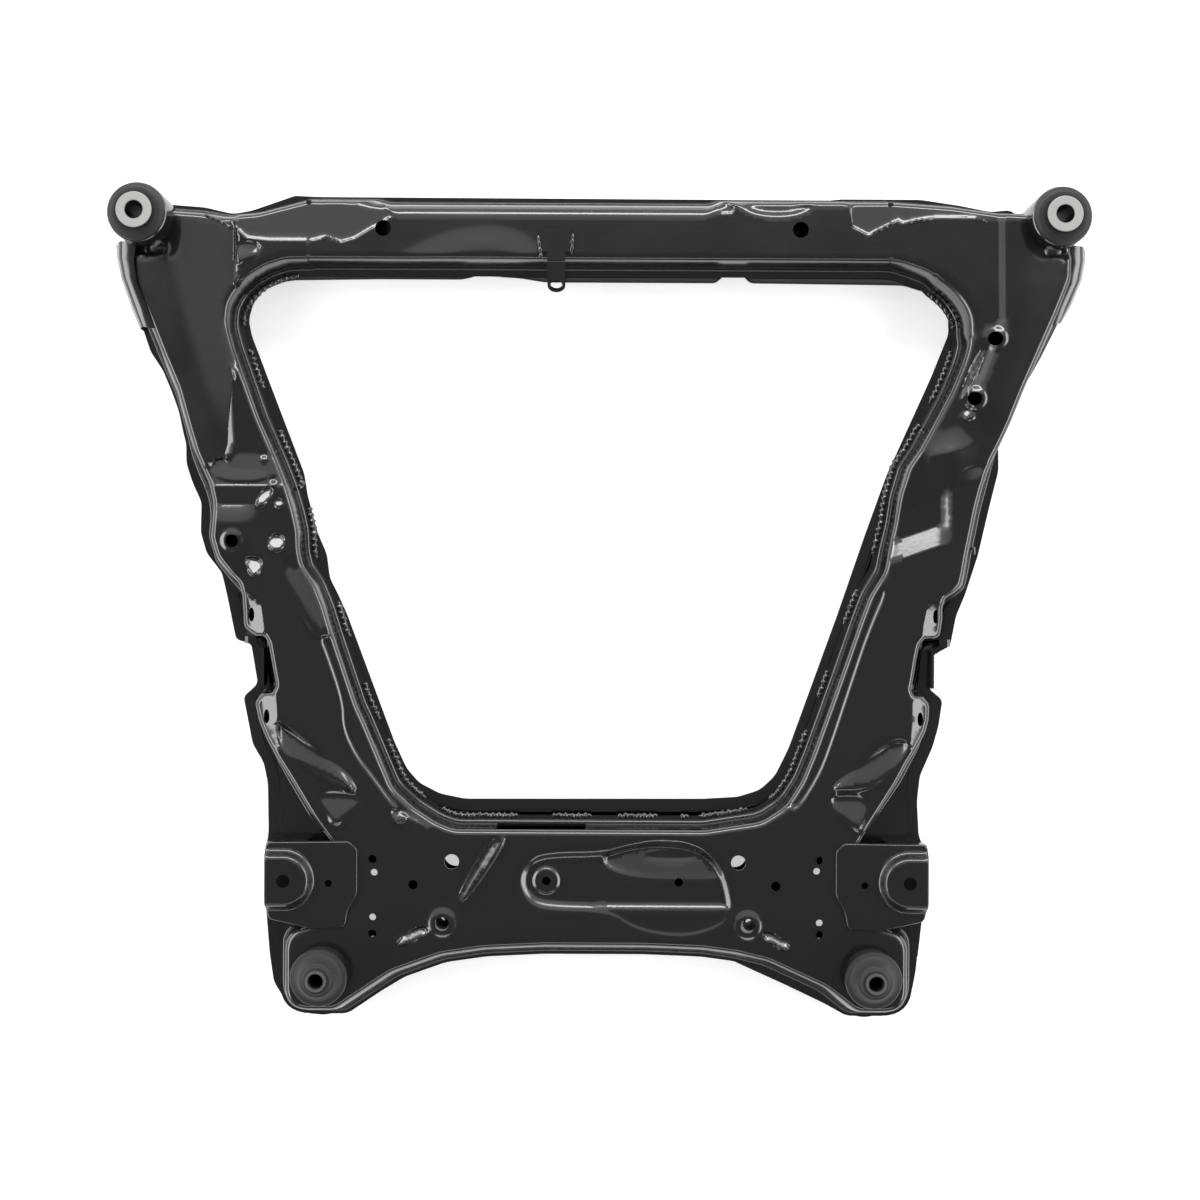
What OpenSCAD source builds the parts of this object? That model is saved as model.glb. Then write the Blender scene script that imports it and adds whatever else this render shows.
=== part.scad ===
// Front suspension subframe: a welded frame of pressed steel shells around an open window,
// with four rubber body mounts and brackets for the two lower suspension arms.
// X is across the vehicle, Y points to its front, Z is up and the lower shells lie on Z = 0.
// Lengthwise places are measured from a datum line across the frame, near its middle.

/* [Mounting points] */
// Distance of each front body mount from the centre line
front_mount_x = 455.5; // [430:0.5:490]
// Distance of the front body mounts ahead of the datum line
front_mount_y = 379; // [372:0.5:386]
// Distance of each rear body mount from the centre line
rear_mount_x = 273; // [262:0.5:285]
// Distance of the rear body mounts behind the datum line
rear_mount_y = 373.5; // [369:0.5:378]
// Distance of each arm front pivot from the centre line
pivot_x = 354; // [350:0.5:358]
// Distance of the arm front pivots behind the datum line
pivot_y = 69; // [62:0.5:76]
// Distance of each arm rear bolt from the centre line
arm_bolt_x = 310.5; // [304:0.5:316]
// Distance of the arm rear bolts behind the datum line
arm_bolt_y = 280.5; // [277:0.5:284]

/* [Pressed shells] */
// Thickness of the pressed sheet
sheet = 2.6; // [1.8:0.1:3.4]
// Depth of the lower shells, from the floor to the seam
lower_depth = 30; // [24:1:36]
// Height of the upper shells above the seam
upper_height = 42; // [36:1:50]
// Rounding of the long folds
fold_r = 5; // [4:0.5:7]
// How far a wall leans out from fold to seam
wall_draft = 8; // [5:0.5:10]
// How far the front wall of the front beam leans out
front_draft = 14; // [8:0.5:16]
// Width of the weld flange of the upper shells
flange_w = 5; // [3:0.5:8]
// How far the lower shells reach past that flange
lip_w = 6; // [4:0.5:8]
// Half the gap between the ears that hold an arm's front bush
notch_half = 28; // [25:0.5:31]

/* [Window] */
// Half width of the window at its front corners
window_front_x = 399; // [390:1:406]
// Half width of the window at its rear corners
window_rear_x = 196; // [188:1:204]
// Distance of the window's front edge ahead of the datum line
window_front_y = 340; // [334:1:344]
// Distance of the window's rear edge behind the datum line
window_rear_y = 234; // [228:1:238]
// Corner radius at the front of the window
window_front_r = 64; // [50:1:70]
// Corner radius at the rear of the window
window_rear_r = 78; // [60:1:90]
// Distance of each weld seam of the front beam from the centre line
seam_x = 290; // [270:1:300]
// Distance of the front beam's front fold ahead of the datum line
beam_front_y = 385; // [380:1:390]

/* [Body mounts] */
// Outer radius of a front mount tube
front_tube_r = 29.5; // [27:0.5:32]
// Outer radius of a rear mount tube
rear_tube_r = 27; // [25:0.5:29]
// Wall of the mount tubes
tube_wall = 3; // [2:0.1:4]
// Height of the top of the front mount tubes
front_tube_top = 98; // [90:1:106]
// Height of the top of the rear mount tubes
rear_tube_top = 94; // [88:1:100]
// Bolt bore of the front mounts
front_bore_r = 9; // [7:0.1:9.5]
// Bolt bore of the rear mounts
rear_bore_r = 7.5; // [6:0.1:8]
// Outer radius of the front mount's bright inner sleeve at its head
front_head_r = 17.5; // [16:0.1:20]
// Outer radius of the plain part of an inner sleeve
sleeve_r = 12.5; // [11.5:0.1:14]
// Height of the top of the front sleeves
front_sleeve_top = 114; // [110:1:124]
// Height of the top of the rear sleeves
rear_sleeve_top = 126; // [122:1:136]

/* [Brackets] */
// Sheet thickness of the brackets
bracket_t = 3.2; // [2.4:0.1:4]
// Radius of the raised dome over an arm's rear bush
dome_r = 31; // [27:0.5:33]
// Height of that dome above the bracket
dome_h = 10; // [6:0.5:12]
// Bolt hole of the arm mounts
arm_hole_r = 6.5; // [5.5:0.1:7.5]
// Width of the tie-down eye's strip
eye_w = 18; // [14:0.5:22]
// Radius of the hole in the tie-down eye
eye_hole_r = 6; // [4.5:0.1:6.5]

/* [Bolt holes] */
// Half the distance between the front pair of steering gear holes
gear_front_x = 143.5; // [138:0.5:147]
// Distance of the front pair behind the datum line
gear_front_y = 261; // [258:0.5:264]
// Half the distance between the rear pair of steering gear holes
gear_rear_x = 153; // [148:0.5:156]
// Distance of the rear pair behind the datum line
gear_rear_y = 323; // [320:0.5:326]
// Radius of the steering gear holes
gear_hole_r = 7; // [5.5:0.1:7.5]
// Half the distance between the stabiliser bar clamps
clamp_x = 223; // [219:0.5:227]
// Distance of the clamps' middle behind the datum line
clamp_y = 296.5; // [293:0.5:300]
// Half the distance between the two holes of one clamp
clamp_half = 37; // [34:0.5:40]
// Radius of the clamp holes
clamp_hole_r = 4.5; // [3.5:0.1:5]
// Radius of the holes in the front beam
beam_hole_r = 8; // [6:0.1:9]

/* [Hidden] */
$fn = 48;
LEFT = -1;
RIGHT = 1;
steel_black = [0.09, 0.09, 0.095];
rubber_black = [0.05, 0.05, 0.05];
bare_metal = [0.72, 0.72, 0.71];
seam_z = lower_depth;
top_z = lower_depth + upper_height;
fit_gap = 0.2;
cut = 1;
// Lean and flange of a notch's two side walls, and half the outer width of the clevis between them
notch_edge = 0.6;
clevis_half = notch_half - 2 * notch_edge - fit_gap;

// Anchor points in the right half; a side of -1 mirrors them to the left
F = [front_mount_x, front_mount_y];
P = [pivot_x, -pivot_y];
A = [arm_bolt_x, -arm_bolt_y];
R = [rear_mount_x, -rear_mount_y];
ear_x = pivot_x - 16;
pocket_x = arm_bolt_x - 62;
corner_r = rear_tube_r + fold_r + 2;
corner_draft = wall_draft * 0.6;
rear_reach = rear_mount_y + corner_r + corner_draft + flange_w + lip_w;
// The datum line lies this far ahead of the middle of the frame's box
datum_y = (rear_reach - front_mount_y - front_tube_r) / 2;

function unit(v) = v / norm(v);
function out_normal(v) = [v[1], -v[0]];
function sweep_steps(r) = r < 9 ? 1 : r < 45 ? 2 : 4;

// Outlines run anticlockwise. A corner is [x, y, radius, draft, flange] where the last two
// belong to the edge that follows it: how far its wall leans out and the flange beyond that.
function edge_out(c, drafts, flanges, extra, inset) =
    c[3] * drafts + c[4] * flanges + (c[4] > seam_gap ? extra : 0) - inset;

// Corner points after every edge has moved out by its own amount
function moved(line, drafts, flanges, extra, inset) =
    let (n = len(line))
    [for (i = [0:n - 1])
        let (
            a = line[(i + n - 1) % n],
            b = line[i],
            c = line[(i + 1) % n],
            u = unit([b[0] - a[0], b[1] - a[1]]),
            v = unit([c[0] - b[0], c[1] - b[1]]),
            da = edge_out(a, drafts, flanges, extra, inset),
            db = edge_out(b, drafts, flanges, extra, inset),
            p = [b[0], b[1]] + out_normal(u) * da,
            q = [b[0], b[1]] + out_normal(v) * db,
            turn = cross(u, v)
        )
        abs(turn) < 0.25 ? (p + q) / 2 : p + u * cross(q - p, v) / turn];

// The same outline with its corners rounded, always with the same count of points
function rounded(line, drafts = 0, flanges = 0, extra = 0, inset = 0) =
    let (m = moved(line, drafts, flanges, extra, inset), n = len(line))
    [for (i = [0:n - 1])
        let (
            b = m[i],
            ta = m[(i + n - 1) % n] - b,
            tc = m[(i + 1) % n] - b,
            half = acos(max(-1, min(1, unit(ta) * unit(tc)))) / 2,
            reach = min(line[i][2] / tan(half), 0.47 * norm(ta), 0.47 * norm(tc)),
            r = reach * tan(half),
            mid = b + unit(unit(ta) + unit(tc)) * r / sin(half),
            s = b + unit(ta) * reach - mid,
            side = cross(-ta, tc) > 0 ? 1 : -1,
            steps = sweep_steps(line[i][2])
        )
        for (k = [0:steps])
            let (w = side * (180 - 2 * half) * k / steps)
            half > 89.5 ? b + unit(tc - ta) * 0.02 * (k - steps / 2)
            : mid + [s[0] * cos(w) - s[1] * sin(w), s[0] * sin(w) + s[1] * cos(w)]];

// Solid through a stack of outlines [height, points]
module stacked(rings) {
    n = len(rings[0][1]);
    m = len(rings);
    points = [for (ring = rings) for (p = ring[1]) [p[0], p[1], ring[0]]];
    bottom = [for (i = [0:n - 1]) i];
    top = [for (i = [n - 1:-1:0]) (m - 1) * n + i];
    polyhedron(points, concat(side_faces(n, m), [bottom, top]));
}

function side_faces(n, m) = [for (j = [0:m - 2]) for (i = [0:n - 1]) for (half = [0, 1])
    let (a = j * n + i, b = j * n + (i + 1) % n)
    half == 0 ? [a, a + n, b] : [b, a + n, b + n]];

// Pressed sheet: a lid with rounded folds, leaning walls and a flange at height 0
module pressing(line, height, extra) {
    stacked([
        [height - sheet, rounded(line, 0, 0, 0, sheet * 0.4 + fold_r)],
        [height - fold_r * 0.3 - sheet * 0.7, rounded(line, 0, 0, 0, sheet * 0.7 + fold_r * 0.25)],
        [height - fold_r, rounded(line, 0.12, 0, 0, sheet)],
        [0, rounded(line, 1, 0, 0, sheet)],
        [0, rounded(line, 1, 1, extra, 0)],
        [sheet, rounded(line, 1, 1, extra, 0)],
        [sheet, rounded(line, 0.94, 0, 0, 0.2)],
        [height - fold_r, rounded(line, 0.12, 0, 0, 0)],
        [height - fold_r * 0.3, rounded(line, 0, 0, 0, fold_r * 0.25)],
        [height, rounded(line, 0, 0, 0, fold_r)]
    ]);
}

module plate(line, z, t) {
    translate([0, 0, z])
        linear_extrude(t)
            polygon(rounded(line));
}

// Raised panel around corner circles [x, y, r], with sloping sides; inset 0 is the outside of
// the sheet and inset sheet its inside
module panel(circles, height, inset) {
    foot = top_z - sheet - (inset > 0 ? cut : 0);
    head = top_z + height - inset;
    hull()
        for (c = circles)
            translate([c[0], c[1], foot])
                cylinder(r1 = c[2] - inset, r2 = c[2] - inset - height, h = head - foot);
}

// Space of a sunk panel; grown by the sheet it is the body that holds that space
module sunk(circles, depth, grown) {
    foot = top_z - depth - grown;
    head = top_z + (grown > 0 ? -sheet * 0.5 : cut);
    hull()
        for (c = circles)
            translate([c[0], c[1], foot])
                cylinder(r1 = c[2] - depth + grown, r2 = c[2] + (grown > 0 ? grown * 0.5 : cut), h = head - foot);
}

// Oblong hole of radius r between two points, down through the sheet at height z
module slot(a, b, r, z) {
    hull()
        for (p = [a, b])
            translate([p[0], p[1], z - cut])
                cylinder(r = r, h = 3 * sheet + 2 * cut);
}

// Outer edge of the frame in the right half, from the front mount rearwards. A rail point is
// [share of the way from mount to ear, how far it stands out from the straight line].
left_rail = [[0.3, 0], [0.5, 0], [0.68, 2], [0.75, 8], [0.84, 24]];
right_rail = [[0.3, 0], [0.5, 0], [0.73, 5], [0.92, 19]];
rail_start = F + [11, -53];
rail_end = [ear_x + 2, P[1] + notch_half + 38];
function rail_corner(q, draft, flange) =
    let (p = rail_start + (rail_end - rail_start) * q[0])
    [p[0] + q[1], p[1], 30, draft, flange];
function outer_half(rail, waist_draft, waist_flange) = concat(
    [
        [F[0] + front_tube_r * 0.05, F[1] - front_tube_r * 0.25, 3, wall_draft, flange_w],
        [F[0] + 12, F[1] - 34, 12, wall_draft, flange_w],
        [rail_start[0], rail_start[1], 30, wall_draft, flange_w]
    ],
    [for (i = [0:len(rail) - 1])
        i == 0 ? rail_corner(rail[i], waist_draft, waist_flange)
        : rail_corner(rail[i], wall_draft, flange_w)],
    [
        [rail_end[0], rail_end[1], 12, wall_draft, flange_w],
        [ear_x, P[1] + notch_half, 4, notch_edge, notch_edge],
        [P[0] - 32, P[1] + notch_half, 6, 3, 2],
        [P[0] - 38, P[1] - notch_half, 6, notch_edge, notch_edge],
        [ear_x, P[1] - notch_half, 4, wall_draft, flange_w],
        [ear_x - 2, P[1] - notch_half - 32, 20, wall_draft, flange_w],
        [pocket_x + 15, A[1] + 40, 10, 2, 0.8],
        [pocket_x, A[1] + 22, 10, 2, 0.8],
        [pocket_x, A[1] - 36, 10, 2, 0.8],
        [R[0] + corner_r, R[1] + corner_r + 3, 22, corner_draft, flange_w],
        [R[0] + corner_r, R[1] - corner_r, 33, corner_draft, flange_w],
        [R[0] - 12, R[1] - corner_r, 22, wall_draft, flange_w],
        [R[0] - 67, R[1] + 1, 60, wall_draft, flange_w],
        [R[0] - 113, R[1] + 19, 60, wall_draft, flange_w],
        [R[0] - 163, R[1] + 28, 60, wall_draft, flange_w]
    ]
);
function mirrored(half) = [for (c = half) [-c[0], c[1], c[2], c[3], c[4]]];
// Rear to front, where each edge's own values move to the corner at its other end
function backwards(half) = [for (i = [len(half) - 1:-1:0])
    let (e = half[max(0, i - 1)])
    [half[i][0], half[i][1], half[i][2], e[3], e[4]]];

// Edge of the window in the right half, front to rear
window_front = [window_front_x, window_front_y];
window_rear = [window_rear_x, -window_rear_y];
window_waist = [[0.42, -7], [0.525, 5], [0.575, -1]];
window_half = concat(
    [[window_front_x, window_front_y, window_front_r, wall_draft, flange_w]],
    [for (q = window_waist)
        let (p = window_front + (window_rear - window_front) * q[0])
        [p[0] + q[1], p[1], 40, wall_draft, flange_w]],
    [[window_rear_x, -window_rear_y, window_rear_r, wall_draft, flange_w]]
);
front_flange = flange_w * 0.5;
// Half the groove that the weld at each seam fills
seam_gap = 0.8;
function beam_corner(x, back, r) = [x, beam_front_y - back, r, front_draft, front_flange];

// The U of two rails and the rear crossmember, without the front beam: around the outside
// from the left weld seam to the right one, then back along the window
main_outer = concat(
    [
        beam_corner(-seam_x - seam_gap, 0, 0.5),
        beam_corner(-340, 10, 30),
        beam_corner(-374, 14, 30),
        beam_corner(-400, 9, 30),
        beam_corner(24 - F[0], 4, 12)
    ],
    mirrored(outer_half(left_rail, wall_draft, flange_w * 0.1)),
    backwards(outer_half(right_rail, wall_draft * 0.6, 0.8)),
    [
        beam_corner(F[0] - 24, 4, 12),
        beam_corner(400, 8, 30),
        beam_corner(352, 2, 40),
        [seam_x + seam_gap, beam_front_y, 0.5, 0, seam_gap]
    ]
);
main_line = concat(
    main_outer,
    [[seam_x + seam_gap, window_front_y, 0.5, wall_draft, flange_w]],
    window_half,
    backwards(mirrored(window_half)),
    [[-seam_x - seam_gap, window_front_y, 0.5, 0, seam_gap]]
);
// The front beam between the two weld seams
front_line = [
    [seam_gap - seam_x, window_front_y, 0.5, wall_draft, flange_w],
    [seam_x - seam_gap, window_front_y, 0.5, 0, seam_gap],
    beam_corner(seam_x - seam_gap, 0, 0.5),
    [seam_gap - seam_x, beam_front_y, 0.5, 0, seam_gap]
];

// A list of corners, anticlockwise on the right, carried to the asked side
function sided(line, side) = side > 0 ? line
    : [for (i = [len(line) - 1:-1:0]) [-line[i][0], line[i][1], line[i][2], 0, 0]];
function at(p, dx, dy, r) = [p[0] + dx, p[1] + dy, r, 0, 0];

// Raised crown along the top of each rail, behind its front mount
function spot(p, side, dx, dy, r) = [side * (p[0] + dx), p[1] + dy, r];
left_crown = [spot(F, LEFT, -43, -38, 11), spot(F, LEFT, -58, -28, 10), spot(F, LEFT, -88, -212, 9)];
right_crown = [
    spot(F, RIGHT, -44, -60, 13), spot(F, RIGHT, -50, -28, 10),
    spot(F, RIGHT, -72, -170, 13), spot(F, RIGHT, -90, -214, 10)
];
crown_h = 4;
// Sunk racetrack on the rear crossmember around the torque rod nut
recess_depth = 8;
nut_spot = [-50, -281];
recess_narrow = [spot(nut_spot, 1, -2, 0, 28), spot(nut_spot, 1, 70, 0, 28)];
recess_wide = [spot(nut_spot, 1, 100, -8, 40), spot(nut_spot, 1, 128, -4, 40), spot(nut_spot, 1, 160, -25, 24)];
// Tapered stiffening dart beside it
dart = [[-96, -251, 10], [-136, -300, 4.5]];
dart_h = 3;
// Facets of the small holes in the pressed shells
hole_facets = 20;
rail_hole = [-364, 57];
rail_hole_r = 6.5;
crown_hole_a = F + [-60, -118];
crown_hole_b = F + [-72, -172];
rim_h = 2.5;
spot_hole_r = 3.5;
spare_hole_x = 181;
beam_holes = [[-216, beam_front_y - 18], [201.5, beam_front_y - 18]];
pad_hole_r = 7;
pad_z = seam_z + 20;

// Room for the mount tubes, cut wide enough that the flats of its facets clear them
module tube_holes(side) {
    for (q = [[R, rear_tube_r], [F, front_tube_r]])
        translate([side * q[0][0], q[0][1], -cut])
            cylinder(r = (q[1] + fit_gap) / cos(180 / 48), h = 160, $fn = 48);
}

module upper_holes() {
    for (side = [LEFT, RIGHT]) {
        for (dy = [-clamp_half, clamp_half])
            translate([side * clamp_x, dy - clamp_y, top_z - 20])
                cylinder(r = clamp_hole_r, h = 30);
        for (dy = [-clamp_half + 14, clamp_half - 13])
            translate([side * clamp_x, dy - clamp_y, top_z - 20])
                cylinder(r = spot_hole_r, h = 30);
        translate([side * spare_hole_x, -clamp_y + 11.5, top_z - 20])
            cylinder(r = clamp_hole_r, h = 30);
        translate([side * gear_front_x, -gear_front_y, top_z - 20])
            cylinder(r = gear_hole_r, h = 30);
        translate([side * gear_rear_x, -gear_rear_y, top_z - 20])
            cylinder(r = gear_hole_r, h = 30);
        for (dy = [notch_half + 19, -notch_half - 18])
            translate([side * (ear_x - 10), P[1] + dy, pad_z])
                rotate([0, 90 * side, 0])
                    cylinder(r = pad_hole_r, h = 40);
        tube_holes(side);
    }
    translate([rail_hole[0], rail_hole[1], top_z - 20])
        cylinder(r = rail_hole_r, h = 40);
    for (p = [crown_hole_a, crown_hole_b])
        translate([p[0], p[1], top_z - 20])
            cylinder(r = pad_hole_r, h = 40);
    translate([nut_spot[0], nut_spot[1], top_z - 20])
        cylinder(r = clamp_hole_r, h = 30);
    translate([nut_spot[0] + 132, nut_spot[1], top_z - 20])
        cylinder(r = clamp_hole_r, h = 30);
}

// Upper shell of the rails and rear crossmember, pressed from one sheet
module main_upper_shell() {
    $fn = hole_facets;
    color(steel_black)
        difference() {
            union() {
                translate([0, 0, seam_z])
                    pressing(main_line, upper_height, 0);
                panel(left_crown, crown_h, 0);
                panel(right_crown, crown_h, 0);
                panel(dart, dart_h, 0);
                sunk(recess_narrow, recess_depth, sheet);
                sunk(recess_wide, recess_depth, sheet);
                translate([rail_hole[0], rail_hole[1], top_z - cut])
                    cylinder(r1 = rail_hole_r + 9, r2 = rail_hole_r + 3, h = rim_h + 2 + cut);
                for (p = [crown_hole_a, crown_hole_b])
                    translate([p[0], p[1], top_z])
                        cylinder(r = pad_hole_r + sheet, h = crown_h + rim_h);
                for (side = [LEFT, RIGHT])
                    translate([side * gear_rear_x, -gear_rear_y, top_z - cut])
                        cylinder(r = gear_hole_r + sheet, h = rim_h + cut);
            }
            panel(left_crown, crown_h, sheet);
            panel(right_crown, crown_h, sheet);
            sunk(recess_narrow, recess_depth, 0);
            sunk(recess_wide, recess_depth, 0);
            upper_holes();
        }
}

// Flat of the lower shell that carries an arm's rear bush, from the ear to the rear mount
function corner_flat(side) = sided([
    at([ear_x, P[1]], 12, -76, 12), at(A, 60 - 120, 60, 10), at([pocket_x, A[1]], -10, 0, 10),
    at(R, -10, 0, 10), at(R, corner_r + 12, -6, 20), at(A, 22, -60, 10), at(A, 23, 40, 16), at(A, 25, 100, 20)
], side);
// Flat under the gusset beside a front mount
function front_flat(side) = sided([
    at(F, 15, -12, 2), at(F, 0, -60, 4), at(F, -28, -150, 4), at(F, -13, -150, 10),
    at(F, 2, -131, 16), at(F, 11, -106, 6), at(F, 29, -60, 30), at(F, 36.5, -30, 8), at(F, 34, -12, 2)
], side);

module lower_holes() {
    for (side = [LEFT, RIGHT]) {
        translate([side * A[0], A[1], seam_z - 10])
            cylinder(r = arm_hole_r + 1, h = 20);
        tube_holes(side);
        translate([side * gear_rear_x, -gear_rear_y, -cut])
            cylinder(r = gear_hole_r, h = 20);
        slot([side * gear_front_x, -gear_front_y - 4], [side * (gear_front_x + 10), -gear_front_y - 12], 15, 0);
        slot([side * (clamp_x + 3), -clamp_y + 18], [side * (clamp_x + 10), -clamp_y - 26], 10, 0);
        slot([side * (F[0] - 80), F[1] - 190], [side * (F[0] - 92), F[1] - 220], 9, 0);
        slot([side * (P[0] - 58), P[1] - 50], [side * (P[0] - 68), P[1] - 75], 9, 0);
        slot([side * (F[0] - 40), F[1] - 70], [side * (F[0] - 45), F[1] - 95], 8, 0);
    }
    translate([0, nut_spot[1], -cut])
        cylinder(r = 22, h = 20);
}

// Lower shell of the rails and rear crossmember, welded under the upper one
module main_lower_shell() {
    $fn = hole_facets;
    color(steel_black)
        difference() {
            union() {
                translate([0, 0, seam_z])
                    mirror([0, 0, 1])
                        pressing(main_line, lower_depth, lip_w);
                for (side = [LEFT, RIGHT])
                    plate(front_flat(side), seam_z - sheet, sheet);
                for (side = [LEFT, RIGHT])
                    plate(corner_flat(side), seam_z - sheet, sheet);
            }
            lower_holes();
        }
}

// Upper shell of the front beam, welded between the rails' front ends
module front_upper_shell() {
    color(steel_black)
        difference() {
            translate([0, 0, seam_z])
                pressing(front_line, upper_height, 0);
            for (p = beam_holes)
                translate([p[0], p[1], top_z - 20])
                    cylinder(r = beam_hole_r, h = 30);
        }
}

// Lower shell of the front beam
module front_lower_shell() {
    color(steel_black)
        difference() {
            translate([0, 0, seam_z])
                mirror([0, 0, 1])
                    pressing(front_line, lower_depth, lip_w);
            for (p = beam_holes)
                translate([p[0], p[1], -cut])
                    cylinder(r = beam_hole_r + 6, h = 20);
        }
}

press_gap = 0.1;
can_t = 1.5;
tube_foot = 6;
front_can_r = front_tube_r - tube_wall - press_gap;
rear_can_r = rear_tube_r - tube_wall - press_gap;
front_seat = front_tube_top + can_t + press_gap;
rear_seat = rear_tube_top + can_t + press_gap;
front_rubber_top = front_tube_top + 9;
rear_rubber_top = rear_tube_top + 24;
rear_sleeve_r = sleeve_r - 2.5;

module ring(r_out, r_in, z0, z1) {
    rotate_extrude()
        polygon([[r_in, z0], [r_out, z0], [r_out, z1], [r_in, z1]]);
}

// Steel tube at the end of a rail that a front bush is pressed into
module front_mount_tube(side) {
    color(steel_black)
        translate([side * F[0], F[1], 0])
            ring(front_tube_r, front_tube_r - tube_wall, tube_foot, front_tube_top);
}

// Flanged outer can of a bush, pressed into its tube
module bush_can(side, p, r, top) {
    color(steel_black)
        translate([side * p[0], p[1], 0])
            rotate_extrude()
                polygon([
                    [r - can_t, tube_foot + 4], [r, tube_foot + 4], [r, top + press_gap],
                    [r + tube_wall - 0.5, top + press_gap], [r + tube_wall - 0.5, top + can_t], [r - can_t, top + can_t]
                ]);
}

// Rubber of a front bush with its bulging head
module front_bush_rubber(side) {
    inner = sleeve_r + press_gap;
    outer = front_can_r - can_t - press_gap;
    color(rubber_black)
        translate([side * F[0], F[1], 0])
            rotate_extrude()
                polygon([
                    [inner, tube_foot + 6], [outer, tube_foot + 6], [outer, front_seat],
                    [front_tube_r - 1, front_seat], [front_tube_r - 1, front_seat + 2.5],
                    [front_tube_r - 4, front_rubber_top - 2], [front_tube_r - 8, front_rubber_top],
                    [inner, front_rubber_top]
                ]);
}

// Bright headed sleeve that the front body bolt clamps
module front_sleeve(side) {
    head = front_rubber_top + press_gap;
    color(bare_metal)
        translate([side * F[0], F[1], 0])
            rotate_extrude()
                polygon([
                    [front_bore_r, tube_foot], [sleeve_r, tube_foot], [sleeve_r, head],
                    [front_head_r, head], [front_head_r, front_sleeve_top], [front_bore_r, front_sleeve_top]
                ]);
}

// Steel collar through a rear corner of the frame
module rear_mount_tube(side) {
    color(steel_black)
        translate([side * R[0], R[1], 0])
            ring(rear_tube_r, rear_tube_r - tube_wall, 0, rear_tube_top);
}

// Rubber of a rear bush with its stepped, tapering cap
module rear_bush_rubber(side) {
    inner = rear_sleeve_r + press_gap;
    outer = rear_can_r - can_t - press_gap;
    cap = rear_tube_r + 1;
    color(rubber_black)
        translate([side * R[0], R[1], 0])
            rotate_extrude()
                polygon([
                    [inner, tube_foot + 6], [outer, tube_foot + 6], [outer, rear_seat],
                    [cap, rear_seat], [cap, rear_seat + 6], [cap - 3, rear_seat + 8],
                    [cap - 7, rear_seat + 9], [inner + 6, rear_rubber_top - 3],
                    [inner + 3, rear_rubber_top], [inner, rear_rubber_top]
                ]);
}

// Plain sleeve that the rear body bolt clamps
module rear_sleeve(side) {
    color(steel_black)
        translate([side * R[0], R[1], 0])
            ring(rear_sleeve_r, rear_bore_r, tube_foot, rear_sleeve_top);
}

// Space of the half-round dome over an arm's rear bush, open to the outside of the frame
module dome_room(z, inset) {
    translate([A[0], A[1], z])
        cylinder(r1 = dome_r + 3 - inset, r2 = dome_r - 4 - inset, h = dome_h);
    run = [at(A, 0, -dome_r - 3, 0.5), at(A, 40, -dome_r - 3, 0.5), at(A, 40, dome_r + 3, 0.5), at(A, 0, dome_r + 3, 0.5)];
    stacked([
        [z, [for (q = run) [q[0], A[1] + (q[1] - A[1]) * (1 - inset / (dome_r + 3))]]],
        [z + dome_h, [for (q = run) [q[0], A[1] + (q[1] - A[1]) * (1 - (7 + inset) / (dome_r + 3))]]]
    ]);
}

// Bracket over an arm's rear bush: a lid with a dome, a front wall and a short rear wall
module arm_rear_bracket(side) {
    lid = [
        at(A, 18, -22, 4), at(A, 18, 37, 4), at(A, -64, 38, 8), at(A, -72, 31, 6), at(A, -72, -14, 6),
        at(A, -63, -29, 6), at(A, -60, -46, 8), at(A, -28, -48, 10), at(A, 15, -38, 6)
    ];
    front_wall = [at(A, 18, 37, 1), at(A, -20, 37.5, 1), at(A, -20, 37.5 - bracket_t, 1), at(A, 18, 37 - bracket_t, 1)];
    rear_wall = [at(A, 15, -38, 1), at(A, 14, -38 + bracket_t, 1), at(A, -8, -40.5 + bracket_t, 1), at(A, -8, -41.5, 1)];
    color(steel_black)
        mirror([side < 0 ? 1 : 0, 0, 0])
            difference() {
                union() {
                    plate(lid, top_z, bracket_t);
                    plate(front_wall, seam_z, top_z - seam_z + cut);
                    plate(rear_wall, seam_z, top_z - seam_z + cut);
                    intersection() {
                        dome_room(top_z + bracket_t - cut / 10, 0);
                        plate(lid, top_z, 40);
                    }
                }
                dome_room(top_z - cut / 10, bracket_t * 0.6);
                translate([A[0], A[1], top_z - cut])
                    cylinder(r = arm_hole_r, h = 40);
                translate([A[0] - 44, A[1] - 3, top_z - cut])
                    cylinder(r = spot_hole_r, h = 20);
            }
}

pivot_z = seam_z + 14;
// Folded clevis in the notch of a rail for an arm's front bush
module arm_front_bracket(side) {
    ear_out = 12;
    back = 20;
    reach_y = clevis_half;
    color(steel_black)
        translate([side * P[0], P[1], 0])
            mirror([side < 0 ? 1 : 0, 0, 0])
                difference() {
                    union() {
                        for (y0 = [-reach_y, reach_y - bracket_t])
                            translate([-back, y0, pivot_z - 14])
                                cube([back + 2, bracket_t, 28]);
                        for (y0 = [-reach_y, reach_y - bracket_t])
                            translate([0, y0 + bracket_t, pivot_z])
                                rotate([90, 0, 0])
                                    cylinder(r = ear_out + 2, h = bracket_t);
                        translate([-back, -reach_y, pivot_z - 14])
                            cube([bracket_t, 2 * reach_y, 28]);
                    }
                    translate([0, reach_y + cut, pivot_z])
                        rotate([90, 0, 0])
                            cylinder(r = arm_hole_r, h = 2 * reach_y + 2 * cut);
                }
}

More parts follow.
